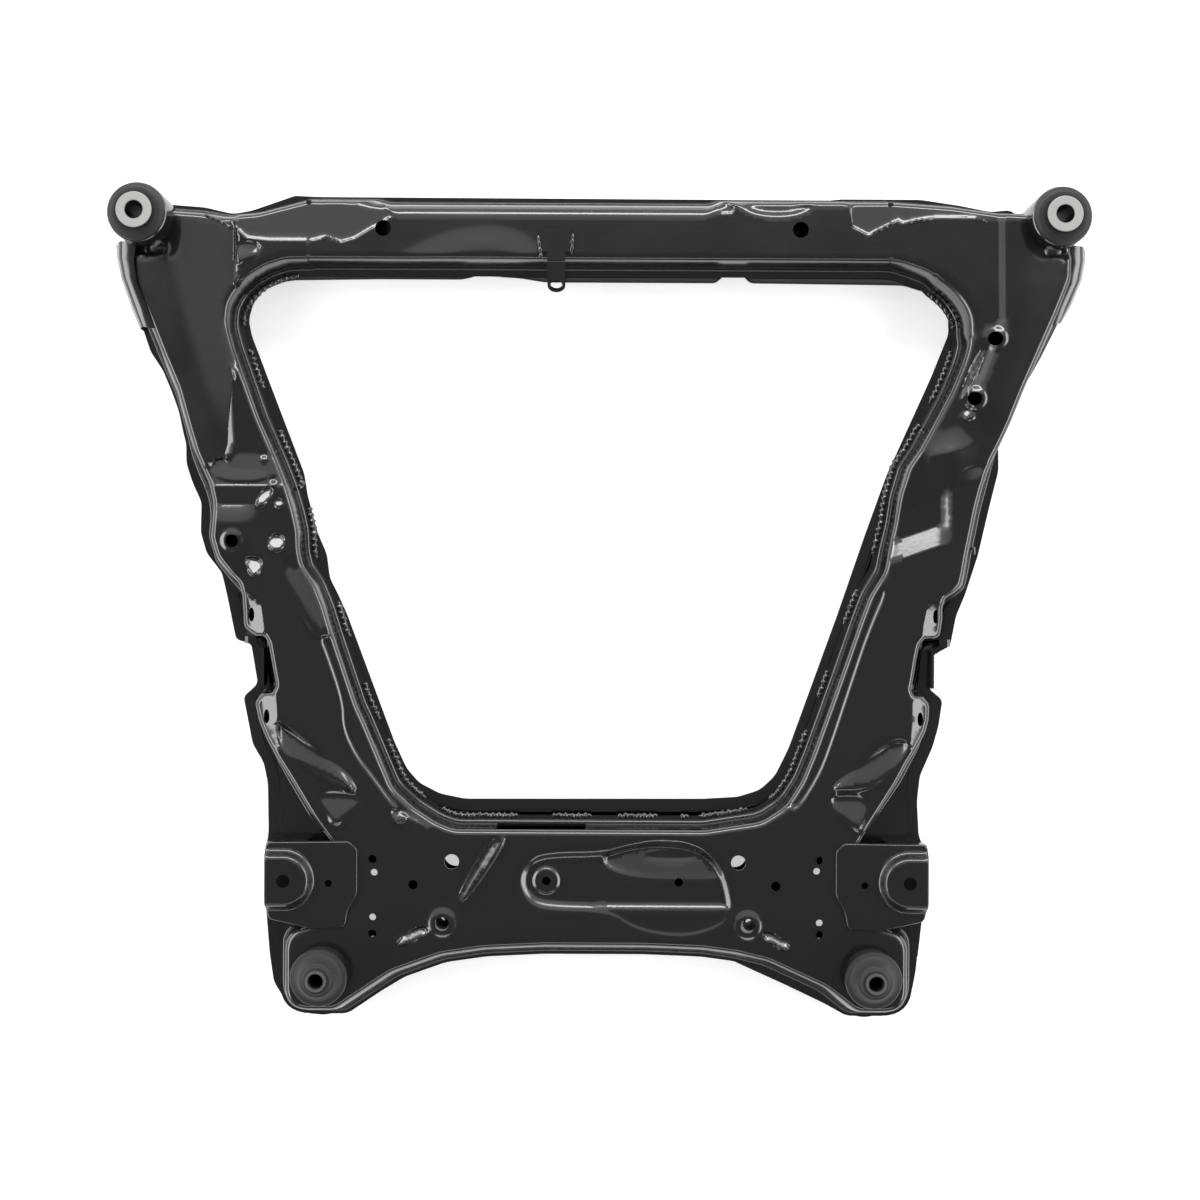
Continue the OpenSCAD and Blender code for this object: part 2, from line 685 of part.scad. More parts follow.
// Upright gusset between a front mount tube and the outer side of its rail
module mount_gusset(side) {
    strip = [
        at(F, 20, -10, 1), at(F, 32, -14, 4), at(F, 35, -30, 12), at(F, 27, -62, 30), at(F, 9.5, -105, 1),
        at(F, 6.7, -103.9, 1), at(F, 24.2, -61, 28), at(F, 31.8, -29.5, 10), at(F, 29.8, -17, 3), at(F, 20, -13.5, 1)
    ];
    color(steel_black)
        difference() {
            plate(sided(strip, side), seam_z, upper_height * 0.7);
            translate([side * F[0], F[1], 0])
                cylinder(r = front_tube_r + fit_gap, h = 140);
        }
}

// Bent strip with an eye at its end, on the window side of the front beam
module tie_down_eye() {
    eye_x = -43;
    t = 3;
    lean = 48;
    reach = 30;
    bend_y = window_front_y + fold_r;
    color(steel_black)
        difference() {
            union() {
                translate([eye_x - eye_w * 0.8, bend_y, top_z])
                    cube([eye_w * 1.6, 24, t]);
                translate([eye_x - eye_w / 2, bend_y - fold_r - 3, top_z])
                    cube([eye_w, fold_r + 4, t]);
                translate([eye_x - eye_w / 2, bend_y - fold_r - 3, top_z])
                    rotate([0, 90])
                        cylinder(r = t, h = eye_w);
                translate([eye_x, bend_y - fold_r - 3, top_z])
                    rotate([lean, 0, 0]) {
                        translate([-eye_w / 2, -reach, 0])
                            cube([eye_w, reach, t]);
                        translate([0, -reach, 0])
                            cylinder(r = eye_w / 2, h = t);
                    }
            }
            translate([eye_x, bend_y - fold_r - 3, top_z])
                rotate([lean, 0, 0])
                    translate([0, -reach, -cut])
                        cylinder(r = eye_hole_r, h = t + 2 * cut);
        }
}

// Spacer tubes through the rear crossmember for the rear steering gear bolts
module steering_gear_tubes() {
    color(steel_black)
        for (side = [LEFT, RIGHT])
            translate([side * gear_rear_x, -gear_rear_y, 0])
                ring(gear_hole_r + 4, gear_hole_r, sheet, top_z - sheet);
}

// Weld nuts under the upper shell for the stabiliser bar clamps
module stabiliser_nuts() {
    color(steel_black)
        for (side = [LEFT, RIGHT])
            for (dy = [-clamp_half, clamp_half])
                translate([side * clamp_x, dy - clamp_y, 0])
                    ring(clamp_hole_r + 3.5, clamp_hole_r - 0.5, top_z - sheet - 8, top_z - sheet);
}

// Weld nuts under the lower shell for the arms' rear bolts
module arm_rear_nuts() {
    color(steel_black)
        for (side = [LEFT, RIGHT])
            translate([side * A[0], A[1], 0])
                ring(arm_hole_r + 4, arm_hole_r, seam_z - sheet - 11, seam_z - sheet);
}

// Weld nuts on the front ears for the arms' front bolts
module arm_front_nuts() {
    color(steel_black)
        for (side = [LEFT, RIGHT])
            translate([side * P[0], P[1] + clevis_half, pivot_z])
                rotate([-90, 0, 0])
                    ring(arm_hole_r + 3, arm_hole_r, 0, 10);
}

// Weld nut in the sunk racetrack for the engine's torque rod
module torque_rod_nut() {
    color(steel_black)
        translate([nut_spot[0], nut_spot[1], top_z - recess_depth])
            ring(clamp_hole_r + 6.5, clamp_hole_r, 0, 6);
}

module placed() {
    translate([0, datum_y, 0])
        children();
}

placed() main_upper_shell();
placed() main_lower_shell();
placed() front_upper_shell();
placed() front_lower_shell();
placed() front_mount_tube(LEFT);  // left_front_mount_tube
placed() front_mount_tube(RIGHT);  // right_front_mount_tube
placed() bush_can(LEFT, F, front_can_r, front_tube_top);  // left_front_bush_can
placed() bush_can(RIGHT, F, front_can_r, front_tube_top);  // right_front_bush_can
placed() front_bush_rubber(LEFT);  // left_front_bush_rubber
placed() front_bush_rubber(RIGHT);  // right_front_bush_rubber
placed() front_sleeve(LEFT);  // left_front_sleeve
placed() front_sleeve(RIGHT);  // right_front_sleeve
placed() rear_mount_tube(LEFT);  // left_rear_mount_tube
placed() rear_mount_tube(RIGHT);  // right_rear_mount_tube
placed() bush_can(LEFT, R, rear_can_r, rear_tube_top);  // left_rear_bush_can
placed() bush_can(RIGHT, R, rear_can_r, rear_tube_top);  // right_rear_bush_can
placed() rear_bush_rubber(LEFT);  // left_rear_bush_rubber
placed() rear_bush_rubber(RIGHT);  // right_rear_bush_rubber
placed() rear_sleeve(LEFT);  // left_rear_sleeve
placed() rear_sleeve(RIGHT);  // right_rear_sleeve
placed() arm_rear_bracket(LEFT);  // left_arm_rear_bracket
placed() arm_rear_bracket(RIGHT);  // right_arm_rear_bracket
placed() arm_front_bracket(LEFT);  // left_arm_front_bracket
placed() arm_front_bracket(RIGHT);  // right_arm_front_bracket
placed() mount_gusset(LEFT);  // left_mount_gusset
placed() mount_gusset(RIGHT);  // right_mount_gusset
placed() tie_down_eye();
placed() steering_gear_tubes();
placed() stabiliser_nuts();
placed() arm_rear_nuts();
placed() arm_front_nuts();
placed() torque_rod_nut();
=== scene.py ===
import bmesh
import bpy
import numpy as np
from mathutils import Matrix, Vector
from mathutils.geometry import delaunay_2d_cdt
from mathutils.kdtree import KDTree


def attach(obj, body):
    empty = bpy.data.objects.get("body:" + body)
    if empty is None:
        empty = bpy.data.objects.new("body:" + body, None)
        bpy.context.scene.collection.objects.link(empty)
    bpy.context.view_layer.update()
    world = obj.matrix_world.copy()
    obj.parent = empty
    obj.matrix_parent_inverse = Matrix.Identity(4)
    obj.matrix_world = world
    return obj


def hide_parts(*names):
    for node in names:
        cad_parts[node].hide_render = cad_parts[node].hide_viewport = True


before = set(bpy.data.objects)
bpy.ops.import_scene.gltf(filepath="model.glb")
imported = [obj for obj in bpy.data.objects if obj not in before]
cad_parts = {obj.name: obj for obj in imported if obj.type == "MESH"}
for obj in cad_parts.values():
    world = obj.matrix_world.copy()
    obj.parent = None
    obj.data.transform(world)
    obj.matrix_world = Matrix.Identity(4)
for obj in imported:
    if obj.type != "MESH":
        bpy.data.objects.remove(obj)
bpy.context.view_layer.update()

# The frame lies on a plain white table and is seen straight from above, with its front at the top.
# A broad soft sky, brighter towards the front and the sides, and four soft boxes around draw its folds.
scene = bpy.context.scene
scene.view_settings.view_transform = "Standard"

camera_height = 2.4
picture_width = 1.2
picture_away = 2.34
eye = bpy.data.objects.new("eye", bpy.data.cameras.new("eye"))
eye.data.sensor_width = 36
eye.data.lens = eye.data.sensor_width * picture_away / picture_width
eye.data.dof.use_dof = False
eye.location = (0.0022, 0.0066, camera_height)
eye.rotation_euler = (0, 0, 0.0047)
scene.collection.objects.link(eye)
scene.camera = eye

world = bpy.data.worlds.new("sky")
scene.world = world
world.use_nodes = True
sky = world.node_tree
direction = sky.nodes.new("ShaderNodeTexCoord")
split = sky.nodes.new("ShaderNodeSeparateXYZ")
across = sky.nodes.new("ShaderNodeMapRange")
across.inputs["From Min"].default_value = -1
across.inputs["From Max"].default_value = 1
brightness = sky.nodes.new("ShaderNodeValToRGB")
stops = brightness.color_ramp.elements
for place, level in (
    (0.0, 0.2), (0.42, 0.13), (0.48, 0.19), (0.53, 0.14), (0.56, 0.12),
    (0.583, 0.17), (0.608, 0.66), (0.68, 0.68), (0.75, 0.8), (1.0, 0.9),
):
    stop = stops.new(place) if 0 < place < 1 else stops[int(place) * -1]
    stop.color = (level, level, level, 1)
sky.links.new(direction.outputs["Generated"], split.inputs[0])
sky.links.new(split.outputs["Y"], across.inputs["Value"])
sky.links.new(across.outputs["Result"], brightness.inputs["Fac"])
aside = sky.nodes.new("ShaderNodeMath")
aside.operation = "ABSOLUTE"
wings = sky.nodes.new("ShaderNodeMapRange")
wings.inputs["From Min"].default_value = 0.56
wings.inputs["From Max"].default_value = 0.74
wings.inputs["To Max"].default_value = 0.7
total = sky.nodes.new("ShaderNodeVectorMath")
total.operation = "ADD"
sky.links.new(split.outputs["X"], aside.inputs[0])
sky.links.new(aside.outputs[0], wings.inputs["Value"])
sky.links.new(brightness.outputs["Color"], total.inputs[0])
sky.links.new(wings.outputs["Result"], total.inputs[1])
sky.links.new(total.outputs[0], sky.nodes["Background"].inputs["Color"])

for name, place, width, depth, power in (
    ("front_box", (0.0, 2.2, 1.6), 3.2, 0.5, 44.0),
    ("left_box", (-2.1, 0.0, 1.5), 3.2, 0.7, 30.0),
    ("right_box", (2.1, 0.0, 1.5), 3.2, 0.7, 30.0),
    ("rear_box", (0.0, -2.2, 1.6), 2.4, 0.3, 8.0),
):
    lamp = bpy.data.lights.new(name, "AREA")
    lamp.shape = "RECTANGLE"
    lamp.size = width
    lamp.size_y = depth
    lamp.energy = power
    box = bpy.data.objects.new(name, lamp)
    box.location = place
    box.rotation_euler = (Vector((0, 0, 0.05)) - Vector(place)).to_track_quat("-Z", "Y").to_euler()
    scene.collection.objects.link(box)

table_steps = 24
table_line = np.linspace(-3.0, 3.0, table_steps + 1)
table_z = -0.0004
gx, gy = np.meshgrid(table_line, table_line)
corner = (np.arange(table_steps)[:, None] * (table_steps + 1) + np.arange(table_steps)).ravel()
table_mesh = bpy.data.meshes.new("table")
table_mesh.from_pydata(
    np.stack([gx.ravel(), gy.ravel(), np.full(gx.size, table_z)], 1),
    [],
    np.stack([corner, corner + 1, corner + table_steps + 2, corner + table_steps + 1], 1),
)
table = bpy.data.objects.new("table", table_mesh)
scene.collection.objects.link(table)
table_white = bpy.data.materials.new("table_white")
table_white.use_nodes = True
nodes, links = table_white.node_tree.nodes, table_white.node_tree.links
matt = nodes["Principled BSDF"].inputs
matt["Base Color"].default_value = (0.78, 0.78, 0.78, 1)
matt["Roughness"].default_value = 0.9
matt["Emission Color"].default_value = (1, 1, 1, 1)
seen = nodes.new("ShaderNodeLightPath")
direct, mirrored, glow = (nodes.new("ShaderNodeMath") for _ in range(3))
direct.operation = mirrored.operation = "ADD"
mirrored.use_clamp = True
glow.operation = "MULTIPLY"
glow.inputs[1].default_value = 0.55
links.new(seen.outputs["Is Camera Ray"], direct.inputs[0])
links.new(seen.outputs["Is Glossy Ray"], direct.inputs[1])
links.new(direct.outputs[0], mirrored.inputs[0])
links.new(seen.outputs["Is Transmission Ray"], mirrored.inputs[1])
links.new(mirrored.outputs[0], glow.inputs[0])
links.new(glow.outputs[0], matt["Emission Strength"])
table_mesh.materials.append(table_white)


# Upper pressing of the two rails and the rear crossmember: one deep-drawn steel sheet with rounded
# folds, leaning walls and a narrow welding flange, dipped in gloss black paint after welding.
seam = 30.0
sheet_t = 2.6
lid_z = 72.0
fold_r = 6.0


def unit(v):
    """Each row divided by its length."""
    return v / np.linalg.norm(v, axis=-1, keepdims=True)


def cross2(a, b):
    """Third component of the cross product of plane vectors."""
    return a[..., 0] * b[..., 1] - a[..., 1] * b[..., 0]


def rounded(corners, push):
    """Closed line of the corners, which start with x, y and radius, after every edge has moved outwards by its
    own push: each corner becomes a quadratic curve that starts and ends a reach away on its two edges."""
    c = np.asarray(corners, float)
    xy = c[:, :2]
    u = unit(xy - np.roll(xy, 1, 0))
    v = np.roll(u, -1, 0)
    before = xy + np.stack([u[:, 1], -u[:, 0]], 1) * np.roll(push, 1)[:, None]
    after = xy + np.stack([v[:, 1], -v[:, 0]], 1) * push[:, None]
    turn = cross2(u, v)
    flat = np.abs(turn) < 0.25
    along = cross2(after - before, v) / np.where(flat, 1, turn)
    tip = np.where(flat[:, None], (before + after) / 2, before + u * along[:, None])
    back, on = np.roll(tip, 1, 0) - tip, np.roll(tip, -1, 0) - tip
    room = np.minimum(np.linalg.norm(back, axis=1), np.linalg.norm(on, axis=1))
    half = np.arccos(np.clip((unit(back) * unit(on)).sum(1), -1, 1)) / 2
    least = np.where(c[:, 2] < 1, 0.1, np.minimum(5, 0.3 * room))
    reach = np.clip(c[:, 2] / np.tan(half), least, 0.47 * room)[:, None]
    s = np.linspace(0, 1, 9)[None, :, None]
    start, end = (tip + unit(back) * reach)[:, None], (tip + unit(on) * reach)[:, None]
    return ((1 - s) ** 2 * start + 2 * s * (1 - s) * tip[:, None] + s**2 * end).reshape(-1, 2)


def stations(line, spacing):
    """Where to sample a closed line so that no step is longer than the spacing: segment numbers and shares."""
    count = np.maximum(1, np.ceil(np.linalg.norm(np.roll(line, -1, 0) - line, axis=1) / spacing)).astype(int)
    segment = np.repeat(np.arange(len(line)), count)
    share = (np.arange(count.sum()) - np.repeat(np.cumsum(count) - count, count)) / count[segment]
    return segment, share


def sampled(line, where):
    """Points of a closed line at those stations."""
    segment, share = where
    return line[segment] + (np.roll(line, -1, 0)[segment] - line[segment]) * share[:, None]


def inside(points, loop):
    """True for points inside a closed loop: an odd count of edges lies to the right of the point."""
    a, b = loop, np.roll(loop, -1, 0)
    hits = np.zeros(len(points), int)
    for part in np.array_split(np.arange(len(points)), max(1, len(points) // 4000)):
        x, y = points[part, 0][:, None], points[part, 1][:, None]
        spans = (a[:, 1] > y) != (b[:, 1] > y)
        rise = np.where(b[:, 1] == a[:, 1], 1, b[:, 1] - a[:, 1])
        hits[part] = (spans & (x < (b[:, 0] - a[:, 0]) * (y - a[:, 1]) / rise + a[:, 0])).sum(1)
    return hits % 2 == 1


def gap(points, line, closed=True):
    """Distance from each point to the nearest place on a line."""
    line = np.asarray(line, float)
    a, b = (line, np.roll(line, -1, 0)) if closed else (line[:-1], line[1:])
    ab = b - a
    best = np.empty(len(points))
    for part in np.array_split(np.arange(len(points)), max(1, len(points) // 4000)):
        ap = points[part][:, None] - a
        t = np.clip((ap * ab).sum(2) / np.maximum((ab * ab).sum(1), 1e-9), 0, 1)
        best[part] = np.sqrt(((ap - ab * t[..., None]) ** 2).sum(2).min(1))
    return best


def depth_in(points, loop):
    """Distance to a closed loop, positive inside it and negative outside."""
    loop = np.asarray(loop, float)
    return np.where(inside(points, loop), 1, -1) * gap(points, loop)


def eased(d, width):
    """Smooth step: 0 where d is under minus half the width, 1 where it is over half the width."""
    t = np.clip(d / width + 0.5, 0, 1)
    return t * t * (3 - 2 * t)


def lower_of(a, b, soft):
    """The lower of two heights with the crease between them rounded over that height."""
    h = np.clip(0.5 + 0.5 * (b - a) / soft, 0, 1)
    return b + (a - b) * h - soft * h * (1 - h)


def softened(loop):
    """Closed line with its corners cut twice, each time at a quarter and three quarters of every side."""
    line = np.asarray(loop, float)
    for _ in range(2):
        ahead = np.roll(line, -1, 0)
        line = np.stack([line * 0.75 + ahead * 0.25, line * 0.25 + ahead * 0.75], 1).reshape(-1, 2)
    return line


def beside(line, width, closed=True):
    """Points every 2.4 mm along a line and along its parallels within that width, for a grid to follow."""
    line = np.asarray(line, float)
    ends = np.roll(line, -1, 0) if closed else line[1:]
    starts = line if closed else line[:-1]
    length = np.linalg.norm(ends - starts, axis=1)
    count = np.maximum(1, np.round(length / 2.4)).astype(int)
    segment = np.repeat(np.arange(len(starts)), count)
    share = ((np.arange(count.sum()) - np.repeat(np.cumsum(count) - count, count)) / count[segment])[:, None]
    along = starts[segment] * (1 - share) + ends[segment] * share
    aside = (unit(ends - starts)[segment] @ np.array([[0, -1], [1, 0]])) * width
    return np.concatenate([along + aside * k for k in (-0.5, -0.25, 0, 0.25, 0.5)])


def circle(x, y, r, count=28):
    """Points around a circle."""
    t = np.linspace(0, 2 * np.pi, count, endpoint=False)
    return np.stack([x + r * np.cos(t), y + r * np.sin(t)], 1)


def trimmed_grid(edge, holes, spacing, creases=()):
    """Triangles of a staggered grid of points cut to a closed edge, with its holes left open. Along the creases
    the grid gives way to the creases' own points."""
    low, high = edge.min(0), edge.max(0)
    gx, gy = np.meshgrid(np.arange(low[0], high[0], spacing), np.arange(low[1], high[1], spacing * 0.866))
    gx[1::2] += spacing / 2
    points = np.stack([gx.ravel(), gy.ravel()], 1)
    if len(creases):
        lines = np.concatenate(creases)
        near = KDTree(len(lines))
        for i, q in enumerate(lines):
            near.insert((q[0], q[1], 0), i)
        near.balance()
        points = np.array([q for q in points if near.find((q[0], q[1], 0))[2] > spacing * 0.5])
        cell = np.unique(np.round(lines / (spacing * 0.22)).astype(int), axis=0, return_index=True)[1]
        points = np.concatenate([points, lines[cell]])
    points = points[inside(points, edge)]
    points = points[gap(points, edge) > spacing * 0.45]
    for hole in holes:
        middle = hole.mean(0)
        reach = np.linalg.norm(hole - middle, axis=1).max() + spacing * 0.4
        points = points[np.linalg.norm(points - middle, axis=1) > reach]
    loops = [edge, *holes]
    first = np.cumsum([0] + [len(loop) for loop in loops])
    bounds = [
        (int(f + i), int(f + (i + 1) % len(loop)))
        for f, loop in zip(first, loops)
        for i in range(len(loop))
    ]
    flat = np.concatenate(loops + [points])
    made = delaunay_2d_cdt([Vector(p) for p in flat.tolist()], bounds, [], 1, 1e-4)
    flat = np.array([v[:] for v in made[0]])
    faces = np.array(made[2])
    middle = flat[faces].mean(1)
    keep = inside(middle, edge)
    for hole in holes:
        keep &= ~inside(middle, hole)
    return flat, faces[keep]


def skirt(rows, first):
    """Quads between closed rows of points that follow one another outwards."""
    n = rows.shape[1]
    i = np.arange(n)
    j = np.arange(rows.shape[0] - 1)[:, None] * n + first
    a, b = i, (i + 1) % n
    return np.stack([j + a, j + n + a, j + n + b, j + b], 2).reshape(-1, 4)


def pressing(corners, lid, fold, holes, spacing, foot, creases=(), gate=None):
    """Outer face of a pressed sheet, in millimetres: the lid is a height over the plane inside the fold line,
    and around it the profile of fold, leaning wall, foot and flange is carried along the outline, which runs
    along the middle of the fold. A corner holds x, y, radius, lean and flange, and may end with its edge's own
    fold radius. The gate is a box of the plan in which the wall is left open."""
    c = np.asarray(corners, float)
    where = stations(rounded(c, np.zeros(len(c))), 5.0)
    bend = np.where(c[:, 3] > 0, c[:, 5] if c.shape[1] > 5 else fold, 0.0)
    after, turning = where[0] // 9, np.clip((where[0] % 9 + where[1]) / 8, 0, 1)
    radius = np.roll(bend, 1)[after] * (1 - turning) + bend[after] * turning

    def row(lean, flange, inset):
        return sampled(rounded(c, c[:, 3] * lean + c[:, 4] * flange + bend * (0.5 - inset)), where)

    edge = row(0, 0, 1)
    top = lid(edge)
    turn = np.radians(np.linspace(0, 80, 7))
    rows = [np.column_stack([row(0, 0, 1 - np.sin(t)), top - radius * (1 - np.cos(t))]) for t in turn]
    for share in (0.05, 0.5, 0.95):
        high, low = top - radius * (1 - np.cos(turn[-1])), foot + 4.5 * min(1, fold / 6)
        rows.append(np.column_stack([row(0.9 * share, 0, 0), high + (low - high) * share]))
    for lean, flange, height in (
        (0.9, 0.0, 4.5), (0.94, 0.04, 2.2), (0.97, 0.12, 0.9),
        (1.0, 0.28, 0.2), (1.0, 0.5, 0.0), (1.0, 1.0, 0.0),
    ):
        level = np.full(len(edge), foot + height * min(1, fold / 6))
        rows.append(np.column_stack([row(lean, flange, 0), level]))
    flat, faces = trimmed_grid(edge, holes, spacing, creases)
    lid_points = np.column_stack([flat, lid(flat)])
    rows = np.array(rows)
    quads = skirt(rows, len(lid_points))
    points = np.concatenate([lid_points, rows.reshape(-1, 3)])
    butt = np.tile((radius < 0.01) & (np.roll(radius, -1) < 0.01), len(rows) - 1)
    if gate:
        middle = points[quads].mean(1)
        mx, my = middle[:, 0], middle[:, 1]
        in_gate = (mx > gate[0]) & (mx < gate[1]) & (my > gate[2]) & (my < gate[3])
        strip = np.arange(len(quads)) // len(edge)
        butt |= in_gate & (strip >= len(turn)) & (strip < len(turn) + 2)
    return points, faces, quads[~butt]


def sheet_piece(name, points, triangles, quads, thickness, smooth=40):
    """Piece of sheet from one face in millimetres: doubles merged, thickness added behind that face, and folds
    sharper than the smooth angle kept as creases."""
    mesh = bpy.data.meshes.new(name)
    mesh.from_pydata((points / 1000).tolist(), [], triangles.tolist() + quads.tolist())
    work = bmesh.new()
    work.from_mesh(mesh)
    bmesh.ops.remove_doubles(work, verts=work.verts, dist=0.00002)
    bmesh.ops.dissolve_degenerate(work, edges=work.edges, dist=0.00001)
    bmesh.ops.recalc_face_normals(work, faces=work.faces)
    if sum(f.normal.z * f.calc_area() for f in work.faces) < 0:
        bmesh.ops.reverse_faces(work, faces=work.faces)
    work.to_mesh(mesh)
    work.free()
    piece = bpy.data.objects.new(name, mesh)
    scene.collection.objects.link(piece)
    if thickness:
        wall = piece.modifiers.new("wall", "SOLIDIFY")
        wall.thickness = thickness / 1000
        wall.offset = -1
        wall.use_even_offset = False
        brink = piece.modifiers.new("cut_edges", "EDGE_SPLIT")
        brink.split_angle = np.radians(smooth)
    mesh.polygons.foreach_set("use_smooth", np.ones(len(mesh.polygons), bool))
    mesh.set_sharp_from_angle(angle=np.radians(smooth))
    return piece


def paint_grain():
    """Node group for sprayed and dipped coats: a fine orange peel height, and a broad cloud of gloss."""
    group = bpy.data.node_groups.new("coat_grain", "ShaderNodeTree")
    for name in ("Peel Size", "Low Gloss", "High Gloss"):
        group.interface.new_socket(name, in_out="INPUT", socket_type="NodeSocketFloat")
    for name in ("Height", "Roughness"):
        group.interface.new_socket(name, in_out="OUTPUT", socket_type="NodeSocketFloat")
    given = group.nodes.new("NodeGroupInput")
    out = group.nodes.new("NodeGroupOutput")
    place = group.nodes.new("ShaderNodeTexCoord")
    peel = group.nodes.new("ShaderNodeTexNoise")
    peel.inputs["Detail"].default_value = 2
    cloud = group.nodes.new("ShaderNodeTexNoise")
    cloud.inputs["Scale"].default_value = 14
    cloud.inputs["Detail"].default_value = 4
    spread = group.nodes.new("ShaderNodeMapRange")
    spread.inputs["From Min"].default_value = 0.3
    spread.inputs["From Max"].default_value = 0.7
    group.links.new(place.outputs["Object"], peel.inputs["Vector"])
    group.links.new(place.outputs["Object"], cloud.inputs["Vector"])
    group.links.new(given.outputs["Peel Size"], peel.inputs["Scale"])
    group.links.new(cloud.outputs[0], spread.inputs["Value"])
    group.links.new(given.outputs["Low Gloss"], spread.inputs["To Min"])
    group.links.new(given.outputs["High Gloss"], spread.inputs["To Max"])
    group.links.new(peel.outputs[0], out.inputs["Height"])
    group.links.new(spread.outputs["Result"], out.inputs["Roughness"])
    return group


coat_grain = paint_grain()


def coated(name, colour, low_gloss, high_gloss, peel_size, peel_depth, ior):
    """Painted or moulded finish: one colour, with the grain group's gloss and its height through a bump."""
    made = bpy.data.materials.new(name)
    made.use_nodes = True
    tree = made.node_tree
    shader = tree.nodes["Principled BSDF"]
    shader.inputs["Base Color"].default_value = (*colour, 1)
    shader.inputs["IOR"].default_value = ior
    grain = tree.nodes.new("ShaderNodeGroup")
    grain.node_tree = coat_grain
    grain.inputs["Peel Size"].default_value = peel_size
    grain.inputs["Low Gloss"].default_value = low_gloss
    grain.inputs["High Gloss"].default_value = high_gloss
    bump = tree.nodes.new("ShaderNodeBump")
    bump.inputs["Strength"].default_value = 1
    bump.inputs["Distance"].default_value = peel_depth
    tree.links.new(grain.outputs["Height"], bump.inputs["Height"])
    tree.links.new(bump.outputs["Normal"], shader.inputs["Normal"])
    tree.links.new(grain.outputs["Roughness"], shader.inputs["Roughness"])
    return made


black_paint = coated("black_paint", (0.008, 0.008, 0.0084), 0.13, 0.2, 260.0, 0.00003, 1.85)

left_rail_edge = [
    [-466.6, 360.4, 10, 6, 3], [-464.2, 326, 30, 6, 3], [-451.7, 295.4, 30, 6, 3], [-435.1, 254.7, 30, 6, 3],
    [-418.4, 216.1, 30, 6, 2], [-407.9, 179.7, 30, 6, 3], [-399.6, 153.1, 30, 8, 5],
    [-391.4, 134.9, 30, 8, 4], [-384.9, 119.9, 20, 8, 4], [-381.1, 105, 30, 7, 4], [-380.3, 89, 30, 7, 4],
    [-382.3, 67.1, 20, 6, 3], [-376.6, 48.4, 20, 6, 4], [-364.5, 33.3, 30, 6, 4], [-354.5, 22.3, 6, 4, 2],
    [-351.9, 11.4, 4, 1.5, 1], [-350.6, -20.5, 5, 1.5, 1], [-341, -27.9, 5, 1.5, 1],
    [-330.6, -27.5, 5, 3, 1.5], [-325.5, -36.4, 8, 5, 2], [-321.8, -57.3, 20, 5, 2],
    [-317.6, -80.2, 5, 4, 2], [-321.5, -89.7, 5, 3, 1], [-334.5, -91.2, 5, 1.5, 1],
    [-338.9, -98.1, 5, 1.5, 1], [-335.2, -115.1, 10, 1.5, 1], [-326.1, -135, 12, 4, 2],
    [-315, -152.9, 20, 6, 4], [-301.8, -173.8, 30, 6, 4], [-279.6, -210.7, 30, 6, 4],
    [-263.4, -232.6, 10, 2, 0.8],
]
rear_left = [
    [-248.5, -251.1, 10, 2, 0.8], [-248.5, -309.1, 10, 2, 0.8], [-307.0, -329.1, 22, 4.8, 5],
    [-307.0, -400.1, 33, 4.8, 5], [-261.0, -400.1, 22, 8, 5],
]
rear_edge = [
    [-205.4, -363, 60, 8, 5], [-155.8, -345.1, 60, 8, 5], [-112.1, -338.6, 60, 8, 5],
    [-52.4, -335.6, 60, 8, 5], [47.2, -335.6, 60, 8, 5], [107, -337.8, 60, 8, 5], [139.9, -342.1, 60, 8, 5],
    [172.8, -350.1, 60, 8, 5], [230.8, -376.6, 60, 8, 5],
]
rear_right = [
    [261.0, -400.1, 22, 4.8, 5], [307.0, -400.1, 33, 4.8, 5], [307.0, -329.1, 22, 2, 0.8],
    [248.5, -309.1, 10, 2, 0.8], [248.5, -251.1, 10, 2, 0.8],
]
right_rail_edge = [
    [261.3, -229.6, 10, 6, 4], [297.6, -171.8, 30, 6, 4], [307.4, -152.9, 20, 6, 4], [316.2, -139, 10, 4, 2],
    [325, -123, 10, 1.5, 1], [328.4, -110.1, 10, 1.5, 1], [328.7, -97.2, 5, 1.5, 1], [322.7, -90.2, 5, 3, 1],
    [313.7, -90.7, 5, 4, 2], [310.2, -81.2, 5, 5, 2], [312.6, -70.3, 20, 5, 2], [315.4, -51.3, 20, 5, 2],
    [318.7, -35.4, 6, 3, 1.5], [324.1, -28.4, 5, 1.5, 1], [339, -27, 5, 1.5, 1], [341.4, -12.5, 8, 1.5, 1],
    [341.2, 3.4, 5, 4, 2], [343.7, 11.4, 6, 4, 2], [353.5, 17.9, 8, 6, 4], [359.5, 23.8, 12, 7, 4],
    [362.3, 35.3, 20, 7, 4], [365.2, 52.8, 30, 7, 4], [370.5, 78.7, 30, 7, 4], [374.7, 100, 30, 7, 4],
    [380.9, 123.9, 30, 7, 4], [389.2, 147.8, 30, 4, 2], [397.3, 163.7, 30, 0.5, 0.3],
    [407.2, 185.6, 30, 1, 0.4], [421.1, 220.5, 30, 4, 1], [436.9, 256.3, 30, 6, 3], [455, 297.2, 30, 6, 3],
    [467.9, 330, 20, 6, 3], [468.6, 362.4, 10, 6, 3],
]
front_left = [
    [-290.0, 401.4, 0.5, 5, 2.5], [-340, 388, 30, 5, 2.5], [-374, 384.5, 30, 5, 2.5], [-400, 389, 30, 5, 2.5],
    [-431.5, 391, 12, 5, 2.5],
]
front_right = [
    [431.5, 388.4, 12, 5, 2.5], [400, 390, 30, 5, 2.5], [352, 397, 40, 5, 2.5], [290.0, 401.4, 0.5, 0, 0],
]
seam_right = [[290.0, 347.4, 0.5, 3, 8]]


